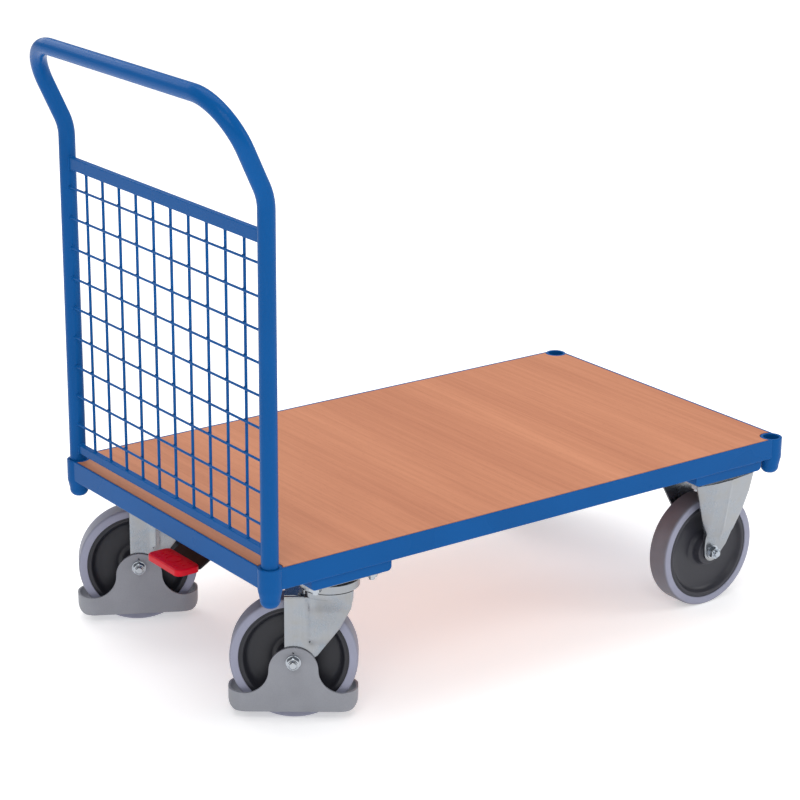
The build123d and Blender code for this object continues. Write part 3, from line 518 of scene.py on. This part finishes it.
WHEEL_SEGMENTS = 144
TYRE_HALF = [
    (86.0, 20.3, 1.2),
    (88.5, 20.5, 1.0),
    (100.0, 20.5, 5.175),
]
RIM_HALF = [
    (13.0, 25.0, 0.4),
    (17.5, 25.0, 0.8),
    (18.0, 24.2, 0.3),
    (25.0, 24.2, 1.5),
    (26.6, 9.0, 3.0),
    (33.0, 6.0, 3.0),
    (38.0, 6.6, 3.0),
    (62.0, 7.4, 5.0),
    (73.5, 9.8, 5.0),
    (78.2, 18.6, 2.0),
    (79.6, 19.6, 0.6),
    (82.5, 19.6, 0.6),
    (83.1, 19.0, 0.3),
    (86.0, 19.0, 0.4),
]
# Painted shade on the tread: full on the fixed wheels, under half on the swivel wheels, which are more in the
# light
TREAD_START, TREAD_FULL = 0.0962, 0.0998  # distances from the axle, in metres
TREAD_SHADE_SHARES = {"swivel": 0.45, "fixed": 1.0}
RIM_LOOKS = {"swivel": SHADED_SWIVEL_RIM, "fixed": LOOKS["rim_grey"]}


def turned_wheel(half, steps):
    """Half of an outline of (radius, across, easing), mirrored and turned about the axle."""
    other = [(r, -across, ease) for r, across, ease in reversed(half)]
    return lathed(eased(half + other, steps=steps), WHEEL_SEGMENTS)


def add_tread_shade(tyre, joint, share):
    """Stores how far out each point of a tyre is, for the painted shade on the tread."""
    centre, axis = Vector(joint["pos_m"]), Vector(joint["axis"])
    shade = tyre.data.attributes.new("tread", "FLOAT", "POINT")
    values = []
    for vertex in tyre.data.vertices:
        out = vertex.co - centre
        radius = (out - axis * out.dot(axis)).length
        values.append(share * ramped(radius, TREAD_START, TREAD_FULL))
    shade.data.foreach_set("value", values)


def add_wheel(side, kind):
    body = f"{side}_{kind}_wheel"
    place = axle_place(side, kind)
    tyre = make_piece(f"{body}_tyre_moulding", body, "tyre_grey", LOOKS["tyre_grey"],
                      *turned_wheel(TYRE_HALF, 10), place, [f"{side}_{kind}_tyre"])
    add_tread_shade(tyre, JOINTS[f"{body}_spin"], TREAD_SHADE_SHARES[kind])
    make_piece(f"{body}_rim_moulding", body, "rim_grey", RIM_LOOKS[kind],
               *turned_wheel(RIM_HALF, 4), place, [f"{side}_{kind}_rim"])


for side in SIDES:
    add_wheel(side, "swivel")
    add_wheel(side, "fixed")


# Pressed forks -----------------------------------------------------------------------------


AXLE_Z = 100.0
LEG_MARGIN = 0.15  # how far a shell reaches past the edges of the CAD leg under it
SHELL_COLUMNS = 56
LEG_ROW = 2.0  # spacing of a shell's rows above its foot
SHELL_PROUD = 0.2  # how far a shell stands off the CAD leg's face


def pressing(rows, reach, height, depth, way):
    """A shell over a fork leg: reach(z) gives the leg's two edges, height(x, z) its face."""
    rings = []
    for z in rows:
        back, front = reach(z)
        xs = [back + (front - back) * i / SHELL_COLUMNS for i in range(SHELL_COLUMNS + 1)]
        outer = [(x, way * height(x, z), z) for x in xs]
        rings.append(outer + [(x, way * depth(z), z) for x in reversed(xs)])
    return ringed(rings)


def rows_between(low, high, step):
    count = round((high - low) / step)
    return [low + (high - low) * i / count for i in range(count + 1)]


def foot_half(radius, z):
    """Half the width of a leg's round foot."""
    return math.sqrt(max(0.0, radius**2 - (AXLE_Z - z) ** 2))


def ridge(x, middle, width):
    """A smooth ridge, 1 at its middle."""
    return math.exp(-(((x - middle) / width) ** 2))


def rolled(inside, over):
    """How far a rolled edge has fallen: 1 on the edge, 0 this far inside it."""
    return (1 - ramped(inside, 0.0, over)) ** 2


SWIVEL_AXLE_X = -54.3
SWIVEL_BACK_X = -68.0
SWIVEL_FOOT = 13.5
SWIVEL_FACE, SWIVEL_INSIDE = 30.0 + SHELL_PROUD, 28.5
SWIVEL_FRONT = [(89.8, -45.4), (110.0, -17.0), (155.0, 16.7), (190.0, 34.7), (209.0, 38.0)]
CROWN_START, CROWN_TOP, DISH_TOP = 203.0, 209.0, 218.0
CROWN_ROUND, CROWN_DROP = 6.4, 5.0
DISH_RADIUS = 48.6
DISH_HALF = 38.0  # half of the length along which the leg runs up into the dish
SHOULDER_RISE, SHOULDER_X, SHOULDER_Z = 1.6, (-35.0, -27.0), (124.0, 138.0)
BEAD_RISE, BEAD_X, BEAD_WIDTH, BEAD_Z = 3.2, -25.5, 4.6, (126.0, 139.0)
FADE_Z = (190.0, 212.0)  # heights between which shoulder and bead die out
FLARES = [(0.35, (150.0, 200.0)), (0.65, (182.0, 216.0))]  # shares of the dish, and heights
EDGE_ROLL = 2.5
DIMPLES = [(-51.0, 141.0), (-29.0, 143.0), (-50.0, 131.0)]
DIMPLE_DEPTH, DIMPLE_SPREAD = 0.8, 3.0


def swivel_reach(z):
    if z > CROWN_TOP + 0.4:
        return -DISH_HALF, DISH_HALF + LEG_MARGIN
    half = foot_half(SWIVEL_FOOT, z)
    if z >= AXLE_Z:
        back, front = SWIVEL_AXLE_X - SWIVEL_FOOT, along_table(SWIVEL_FRONT, z)
    else:
        back, front = SWIVEL_AXLE_X - half, SWIVEL_AXLE_X + half
        if z > SWIVEL_FRONT[0][0]:
            front = max(front, along_table(SWIVEL_FRONT, z))
    return back - LEG_MARGIN, front + LEG_MARGIN


def swivel_height(x, z):
    """Flat trailing part, a bead up its middle and a front that flares out to meet the dish."""
    shoulder = ramped(x, *SHOULDER_X) * ramped(z, *SHOULDER_Z)
    raised = ridge(x, BEAD_X, BEAD_WIDTH) * ramped(z, *BEAD_Z)
    dish = max(0.0, math.sqrt(max(0.0, DISH_RADIUS**2 - x * x)) - SWIVEL_FACE)
    flare = dish * sum(share * ramped(z, *heights) for share, heights in FLARES)
    back_edge = rolled(x - SWIVEL_BACK_X, EDGE_ROLL)
    front_edge = 0.9 * rolled(along_table(SWIVEL_FRONT, z) - x, EDGE_ROLL) if z > AXLE_Z else 0.0
    dents = sum(math.exp(-((x - dx) ** 2 + (z - dz) ** 2) / DIMPLE_SPREAD) for dx, dz in DIMPLES)
    over = min(1.0, max(0.0, z - CROWN_START) / CROWN_ROUND)
    top = CROWN_DROP * (1 - math.sqrt(max(0.0, 1 - over**2))) * ramped(-x, 30.0, 40.0)
    fade = 1 - ramped(z, *FADE_Z)
    beading = SHOULDER_RISE * shoulder + BEAD_RISE * raised - front_edge
    return SWIVEL_FACE + beading * fade + flare - back_edge - DIMPLE_DEPTH * dents - top


KNEE = 128.0
FIXED_TOP = 240.0
FIXED_FOOT = 16.5
FIXED_LEAN = 25.0
FIXED_BACK = [(100.0, -16.5), (137.0, -20.0), (167.0, -34.0), (212.0, -53.0), (239.0, -64.5)]
FIXED_FRONT = [(91.0, 14.0), (108.0, 31.0), (133.0, 45.5), (167.0, 57.0), (205.0, 63.5),
               (239.0, 64.5)]
SHELL_DEPTH = 1.5
PANEL_RISE = 7.0
PANEL_Z = (100.0, 150.0)  # heights between which the panel rises
FOLD_LENGTH = 110.0  # height over which the folds move by their whole slopes
BACK_FOLD, BACK_FOLD_SLOPE = -20.0, -8.0
FRONT_FOLD, FRONT_FOLD_SLOPE = 14.0, -6.0


def fixed_reach(z):
    half = foot_half(FIXED_FOOT, z)
    back = along_table(FIXED_BACK, z) if z > AXLE_Z else -half
    front = half if z < FIXED_FRONT[0][0] else along_table(FIXED_FRONT, z)
    return back - LEG_MARGIN, front + LEG_MARGIN


def fixed_base(z):
    """The outer face of the leg: upright at the axle and leaning out above the knee."""
    return 30.0 + FIXED_LEAN * max(0.0, z - KNEE) / (FIXED_TOP - KNEE)


def fixed_height(x, z):
    """A raised middle panel between two folds, with a facet falling away on each side."""
    back, front = fixed_reach(z)
    above = (z - KNEE) / FOLD_LENGTH
    back_fold = BACK_FOLD + BACK_FOLD_SLOPE * above
    front_fold = FRONT_FOLD + FRONT_FOLD_SLOPE * above
    behind = min(1.0, max(0.0, back_fold - x) / max(4.0, back_fold - back))
    ahead = min(1.0, max(0.0, x - front_fold) / max(14.0, front - front_fold))
    crease = 0.9 * ridge(x, back_fold, 1.6) - 0.8 * ridge(x, front_fold, 2.2)
    raised = ramped(z, *PANEL_Z) * (PANEL_RISE * (1 - behind) * (1 - ahead) - crease)
    edge = 0.8 * rolled(min(x - back, front - x), 2.2)
    return fixed_base(z) + SHELL_PROUD + raised - edge


def add_pressings(name, body, place, rows, reach, height, depth):
    shells = [pressing(rows, reach, height, depth, way) for way in WAYS]
    make_piece(name, body, "zinc", LOOKS["zinc"], *together(*shells), place, sharp=40)


def add_fork_pressings(side):
    rows = rows_between(86.6, AXLE_Z, 1.5)
    rows += rows_between(AXLE_Z, CROWN_START, LEG_ROW)[1:]
    rows += rows_between(CROWN_START, CROWN_TOP + 0.3, 0.9)[1:]
    rows += rows_between(CROWN_TOP + 0.5, DISH_TOP, 1.2)
    add_pressings(f"{side}_swivel_fork_pressing", f"{side}_caster", swivel_place(side), rows,
                  swivel_reach, swivel_height, lambda z: SWIVEL_INSIDE)
    rows = rows_between(83.7, AXLE_Z, 1.6)
    rows += rows_between(AXLE_Z, FIXED_TOP - 1.1, LEG_ROW)[1:]
    wheel = joint_place(f"{side}_fixed_wheel_spin")
    add_pressings(f"{side}_fixed_fork_pressing", "truck", placed(wheel.x, wheel.y, 0.0), rows,
                  fixed_reach, fixed_height, lambda z: fixed_base(z) - SHELL_DEPTH)


for side in SIDES:
    add_fork_pressings(side)


# Nuts and bolt ends ------------------------------------------------------------------------


ONE = Matrix.Identity(4)
NUT_SEGMENTS = 72
THREAD_SEGMENTS = 40
CHAMFER = math.radians(60)
CHAMFER_START = 0.955  # share of half the flats at which a hexagon's chamfer starts
LEVELS = (0.0, 0.25, 0.6, 1.0, 1.5)  # rings near a hexagon's ends, for its chamfers
THREAD_DEPTH = 0.55  # share of the pitch


def hexagon_radius(flats, turn):
    within = (turn + math.pi / 6) % (math.pi / 3) - math.pi / 6
    return flats / 2 / math.cos(within)


def circle(radius, z):
    turns = full_turn(NUT_SEGMENTS)
    return [(radius * math.cos(turn), radius * math.sin(turn), z) for turn in turns]


def hexagon(flats, low, high, bore, dome=0.0):
    """A hexagonal nut or head along Z with chamfered corners, a bore and, if asked, a collar."""
    rings = []
    for z in [low + step for step in LEVELS] + [high - step for step in reversed(LEVELS)]:
        limit = flats / 2 * CHAMFER_START + min(z - low, high - z) * math.tan(CHAMFER)
        ring = []
        for turn in full_turn(NUT_SEGMENTS):
            r = min(hexagon_radius(flats, turn), limit)
            ring.append((r * math.cos(turn), r * math.sin(turn), z))
        rings.append(ring)
    crown = high + dome
    if dome:
        wide, narrow = 0.40 * flats, 0.36 * flats
        rings += [circle(wide, high), circle(wide, high + dome * 0.6)]
        rings += [circle(narrow, crown), circle(bore, crown)]
    rings += [circle(bore, crown - 1.0), circle(bore, low)]
    return ringed(rings, joined=True)


def thread(radius, low, high, pitch):
    """A threaded end along Z, chamfered at the top."""
    rings = []
    steps = max(4, round((high - low) / (pitch / 5)))
    for k in range(steps + 1):
        z = low + (high - low) * k / steps
        cut = max(0.0, z - (high - 1.2)) * 0.9
        ring = []
        for i in range(THREAD_SEGMENTS):
            turn = i / THREAD_SEGMENTS
            phase = (z / pitch - turn) % 1.0
            r = min(radius - THREAD_DEPTH * pitch * abs(2 * phase - 1), radius - cut)
            angle = 2 * math.pi * turn
            ring.append((r * math.cos(angle), r * math.sin(angle), z))
        rings.append(ring)
    return ringed(rings)


def washer(inner, outer, low, high):
    outline = [(inner, low), (outer, low), (outer, high), (inner, high)]
    return lathed(eased(outline, 0.3, 2), NUT_SEGMENTS, "Z")


AXLE_FLATS, AXLE_THREAD, AXLE_PITCH = 19.0, 5.95, 1.75
AXLE_NUT, AXLE_WASHER = 8.0, 2.5  # thicknesses
AXLE_END = 15.4
AXLE_HEAD = 7.6
CLAMPS = {"swivel": 34.0, "fixed": 30.0}  # half of what each axle bolt clamps


def nut_set(clamp):
    """Washer and lock nut on the -Y side of an axle, and the bolt's end through them."""
    lay = Matrix.Rotation(math.radians(90), 4, "X")
    seat = clamp + AXLE_WASHER
    nut = hexagon(AXLE_FLATS, seat, seat + AXLE_NUT, 6.0, dome=2.0)
    end = thread(AXLE_THREAD, clamp + 2.0, clamp + AXLE_END, AXLE_PITCH)
    return moved(together(washer(6.2, 12.0, clamp, seat), nut), lay), moved(end, lay)


def bolt_head(clamp):
    """The head on the +Y side of an axle, with a shallow round dish in its face."""
    lay = Matrix.Rotation(math.radians(-90), 4, "X")
    seat = clamp + 0.05
    low, high = seat + 0.5, seat + AXLE_HEAD - 0.7
    dish = [(0.01, low), (3.2, low), (3.2, high), (0.01, high)]
    head = hexagon(AXLE_FLATS, seat, seat + AXLE_HEAD, 3.0)
    return moved(together(head, lathed(eased(dish, 0.1, 1), 36, "Z")), lay)


def add_swivel_axle_ends(side):
    place = axle_place(side, "swivel")
    body = f"{side}_caster"
    nut, end = nut_set(CLAMPS["swivel"])
    make_piece(f"{side}_swivel_lock_nut", body, "zinc", FASTENER, *nut, place,
               [f"{side}_swivel_axle_nut"])
    make_piece(f"{side}_swivel_bolt_thread", body, "zinc", FASTENER, *end, place, sharp=60)
    make_piece(f"{side}_swivel_bolt_head", body, "zinc", FASTENER,
               *bolt_head(CLAMPS["swivel"]), place)


def add_fixed_axle_ends():
    nuts, ends, heads = [], [], []
    for side in SIDES:
        nut, end = nut_set(CLAMPS["fixed"])
        place = axle_place(side, "fixed")
        nuts.append(moved(nut, place))
        ends.append(moved(end, place))
        heads.append(moved(bolt_head(CLAMPS["fixed"]), place))
    make_piece("fixed_lock_nuts", "truck", "zinc", FASTENER, *together(*nuts), ONE,
               ["fixed_axle_nuts"])
    make_piece("fixed_bolt_threads", "truck", "zinc", FASTENER, *together(*ends), ONE, sharp=60)
    make_piece("fixed_bolt_heads", "truck", "zinc", FASTENER, *together(*heads), ONE)


PLATE_HOLES = [(dx, dy) for dx in (-52.5, 52.5) for dy in (-40.0, 40.0)]
PLATE_FLATS, PLATE_THREAD, PLATE_PITCH = 17.0, 4.98, 1.5


def add_caster_bolts():
    """The bolt ends and nuts under the four top plates, drawn with their threads and chamfers."""
    low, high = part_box("caster_nuts")
    base, top = (low.z - FLOOR) / MM, (high.z - FLOOR) / MM
    nuts, ends = [], []
    for joint in ("swivel", "fixed_wheel_spin"):
        for centre in [joint_place(f"{side}_{joint}") for side in SIDES]:
            for dx, dy in PLATE_HOLES:
                turn = 0.7 * dx + 0.31 * dy + 3.0 * centre.x  # each nut stops at its own angle
                place = placed(centre.x + dx * MM, centre.y + dy * MM, turn)
                nut = together(washer(5.4, 9.4, top - 1.6, top),
                               hexagon(PLATE_FLATS, base, top - 1.5, 5.2))
                nuts.append(moved(nut, place))
                down = Matrix.Translation((0, 0, base)) @ Matrix.Rotation(math.pi, 4, "X")
                ends.append(moved(thread(PLATE_THREAD, -6.0, 5.0, PLATE_PITCH), place @ down))
    make_piece("plate_nuts", "truck", "zinc", FASTENER, *together(*nuts), ONE, ["caster_nuts"])
    make_piece("plate_bolt_threads", "truck", "zinc", FASTENER, *together(*ends), ONE, sharp=60)


for side in SIDES:
    add_swivel_axle_ends(side)
add_fixed_axle_ends()
add_caster_bolts()


# Weld beads --------------------------------------------------------------------------------


BEAD_SEGMENTS = 10
POST_RADIUS = 0.01345
BAR_BEAD = 0.0017
CROSSING_BEAD, POST_BEAD, BAR_END_BEAD = 0.00085, 0.0010, 0.0009  # radii at the wires
CROSSING_OFFSET, CROSSING_STEP = 0.0021, 0.0012
ACROSS_RING, UPRIGHT_RING = 0.0022, 0.0026  # radii of the rings round the wires' ends


def bead(path, radius, seed, closed=False):
    """A lumpy round bead laid along a path of points in metres."""
    rings = []
    count = len(path)
    for i, point in enumerate(path):
        here = Vector(point)
        before = Vector(path[i - 1]) if i or closed else here
        after = Vector(path[(i + 1) % count]) if i < count - 1 or closed else here
        along = (after - before).normalized()
        across = Vector((0, 1, 0)) if abs(along.x) > 0.99 else Vector((1, 0, 0))
        side = along.cross(across).normalized()
        up = side.cross(along)
        r = radius * (1 + 0.22 * math.sin(i * 1.9 + seed) + 0.10 * math.sin(i * 4.3 + 2 * seed))
        if not closed and i in (0, count - 1):
            r *= 0.45
        rings.append([tuple(here + r * (math.cos(turn) * side + math.sin(turn) * up))
                      for turn in full_turn(BEAD_SEGMENTS)])
    return ringed(rings, joined=closed)


def stepped(corners, step):
    """Points every step or less along straight runs between corners, closed."""
    made = []
    for here, after in zip(corners, corners[1:] + corners[:1]):
        here, after = Vector(here), Vector(after)
        count = max(1, round((after - here).length / step))
        made += [here.lerp(after, i / count) for i in range(count)]
    return made


def add_bar_welds():
    """A bead round each end of the two crossbars, where it meets the post."""
    beads = []
    post_low, post_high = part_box("handle_tube")
    post_ys = {-1: post_low.y + POST_RADIUS, 1: post_high.y - POST_RADIUS}
    for i, name in enumerate(("top_crossbar", "lower_crossbar")):
        low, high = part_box(name)
        middle_x = (low.x + high.x) / 2
        for end in WAYS:
            corners = []
            for x, z in ((low.x, low.z), (high.x, low.z), (high.x, high.z), (low.x, high.z)):
                reach = math.sqrt(max(0.0, POST_RADIUS**2 - (x - middle_x) ** 2))
                corners.append((x, post_ys[end] - end * (reach + 0.0003), z))
            beads.append(bead(stepped(corners, 0.0016), BAR_BEAD, i + end, closed=True))
    make_piece("crossbar_welds", "truck", "blue_paint", WELD, *together(*beads), ONE, sharp=80)


def solid_middles(name, axis):
    """The middle of each separate solid in a node, along one axis."""
    shape = bmesh.new()
    shape.from_mesh(frame["nodes"][name].data)
    bmesh.ops.remove_doubles(shape, verts=shape.verts, dist=1e-6)
    place = frame["nodes"][name].matrix_world
    left, middles = set(shape.verts), []
    while left:
        stack, found = [left.pop()], []
        while stack:
            vertex = stack.pop()
            found.append((place @ vertex.co)[axis])
            for edge in vertex.link_edges:
                other = edge.other_vert(vertex)
                if other in left:
                    left.remove(other)
                    stack.append(other)
        middles.append((min(found) + max(found)) / 2)
    shape.free()
    return sorted({round(middle, 4) for middle in middles})


def add_wire_welds():
    """Small fillets of melted wire at every crossing, at the posts and at the crossbars."""
    beads = []
    heights = solid_middles("horizontal_wires", 2)
    places = solid_middles("vertical_wires", 1)
    low_h, high_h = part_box("horizontal_wires")
    low_v, high_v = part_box("vertical_wires")
    x_h, x_v = (low_h.x + high_h.x) / 2, (low_v.x + high_v.x) / 2
    seam = (x_h + x_v) / 2
    run = [CROSSING_STEP * step for step in (-2, -1, 0, 1, 2)]
    circle_of = [(math.cos(turn), math.sin(turn)) for turn in full_turn(12)]
    for i, z in enumerate(heights):
        for j, y in enumerate(places):
            for way in WAYS:
                path = [(seam, y + way * CROSSING_OFFSET, z + t) for t in run]
                beads.append(bead(path, CROSSING_BEAD, i + j))
        for y in (low_h.y, high_h.y):
            inward = -1 if y > 0 else 1
            path = [(x_h + ACROSS_RING * c, y + inward * 0.0006, z + ACROSS_RING * s)
                    for c, s in circle_of]
            beads.append(bead(path, POST_BEAD, i, closed=True))
    for j, y in enumerate(places):
        for z, inward in ((low_v.z, 1), (high_v.z, -1)):
            path = [(x_v + UPRIGHT_RING * c, y + UPRIGHT_RING * s, z + inward * 0.0003)
                    for c, s in circle_of]
            beads.append(bead(path, BAR_END_BEAD, j, closed=True))
    make_piece("wire_welds", "truck", "blue_paint", WELD, *together(*beads), ONE, sharp=80)


add_bar_welds()
add_wire_welds()


# Camera, floor and light -------------------------------------------------------------------

CAMERA_PLACE = Vector((-2.381216, -3.168252, 1.412140))
CAMERA_YAW = math.radians(53.812)
CAMERA_PITCH = math.radians(-18.539)
CAMERA_ROLL = math.radians(-0.4425)
CAMERA_LENS, CAMERA_SENSOR = 112.43, 36.0
FLOOR_HALF = 14.0
FLOOR_GLOW, BACKDROP_GLOW = 0.40, 0.75  # emission near the truck and far from it
GLOW_NEAR, GLOW_FAR = 0.5, 3.0
WORLD_LIGHT, WORLD_SEEN = 0.40, 1.0  # strength for light, and as the camera sees it


def add_camera():
    data = bpy.data.cameras.new("view")
    data.sensor_width = CAMERA_SENSOR
    data.lens = CAMERA_LENS
    data.clip_end = 60.0
    camera = bpy.data.objects.new("view", data)
    bpy.context.scene.collection.objects.link(camera)
    ahead = Vector((math.cos(CAMERA_PITCH) * math.cos(CAMERA_YAW),
                    math.cos(CAMERA_PITCH) * math.sin(CAMERA_YAW), math.sin(CAMERA_PITCH)))
    level = Vector((math.sin(CAMERA_YAW), -math.cos(CAMERA_YAW), 0.0))
    down = ahead.cross(level)
    right = math.cos(CAMERA_ROLL) * level + math.sin(CAMERA_ROLL) * down
    up = right.cross(ahead)
    turn = Matrix((right, up, -ahead)).transposed().to_4x4()
    camera.matrix_world = Matrix.Translation(CAMERA_PLACE) @ turn
    bpy.context.scene.camera = camera


def add_floor():
    look, tree, shader = principled("pale_floor", Roughness=0.9, Specular_IOR_Level=0.1,
                                    Emission_Color=(*WHITE, 1.0))
    drift = clouds(tree, 1.5, detail=2.0)
    place = node(tree, "TexCoord").outputs["Object"]
    out = node(tree, "VectorMath", {0: place}, operation="LENGTH").outputs["Value"]
    linked(tree, shader,
           Base_Color=tinted(tree, drift, (0.3, (0.90, 0.90, 0.905)), (0.7, grey(0.93))),
           Emission_Strength=spread(tree, out, GLOW_NEAR, GLOW_FAR, FLOOR_GLOW, BACKDROP_GLOW))
    corners = [(-1, -1), (1, -1), (1, 1), (-1, 1)]
    mesh = bpy.data.meshes.new("floor")
    mesh.from_pydata([(x * FLOOR_HALF, y * FLOOR_HALF, FLOOR) for x, y in corners], [],
                     [(0, 1, 2, 3)])
    mesh.materials.append(look)
    floor = bpy.data.objects.new("floor", mesh)
    bpy.context.scene.collection.objects.link(floor)


def add_light(name, place, aim, size, power):
    data = bpy.data.lights.new(name, "AREA")
    data.shape = "RECTANGLE"
    data.size, data.size_y = size
    data.energy = power
    light = bpy.data.objects.new(name, data)
    bpy.context.scene.collection.objects.link(light)
    light.location = place
    light.rotation_mode = "QUATERNION"
    light.rotation_quaternion = (Vector(aim) - Vector(place)).to_track_quat("-Z", "Y")


def add_world():
    """A white sky that the camera sees brighter than it lights the truck."""
    world = bpy.data.worlds.new("studio")
    world.use_nodes = True
    tree = world.node_tree
    sky = tree.nodes["Background"]
    sky.inputs["Color"].default_value = (*WHITE, 1.0)
    seen = node(tree, "LightPath").outputs["Is Camera Ray"]
    strength = spread(tree, seen, 0.0, 1.0, WORLD_LIGHT, WORLD_SEEN)
    tree.links.new(strength, sky.inputs["Strength"])
    bpy.context.scene.world = world


add_camera()
add_floor()
add_world()
add_light("key", place=(-2.4, -2.6, 3.0), aim=(-0.1, 0.0, 0.1), size=(2.6, 2.0), power=50)
add_light("overhead", place=(0.2, 0.3, 3.2), aim=(0.0, 0.0, 0.0), size=(3.2, 2.4), power=56)
add_light("side", place=(2.8, -2.2, 1.6), aim=(0.1, 0.0, 0.1), size=(1.6, 2.2), power=26)
add_light("back", place=(-0.6, 3.2, 2.0), aim=(0.0, 0.0, 0.1), size=(2.4, 1.2), power=22)
bpy.context.scene.view_settings.view_transform = "Standard"
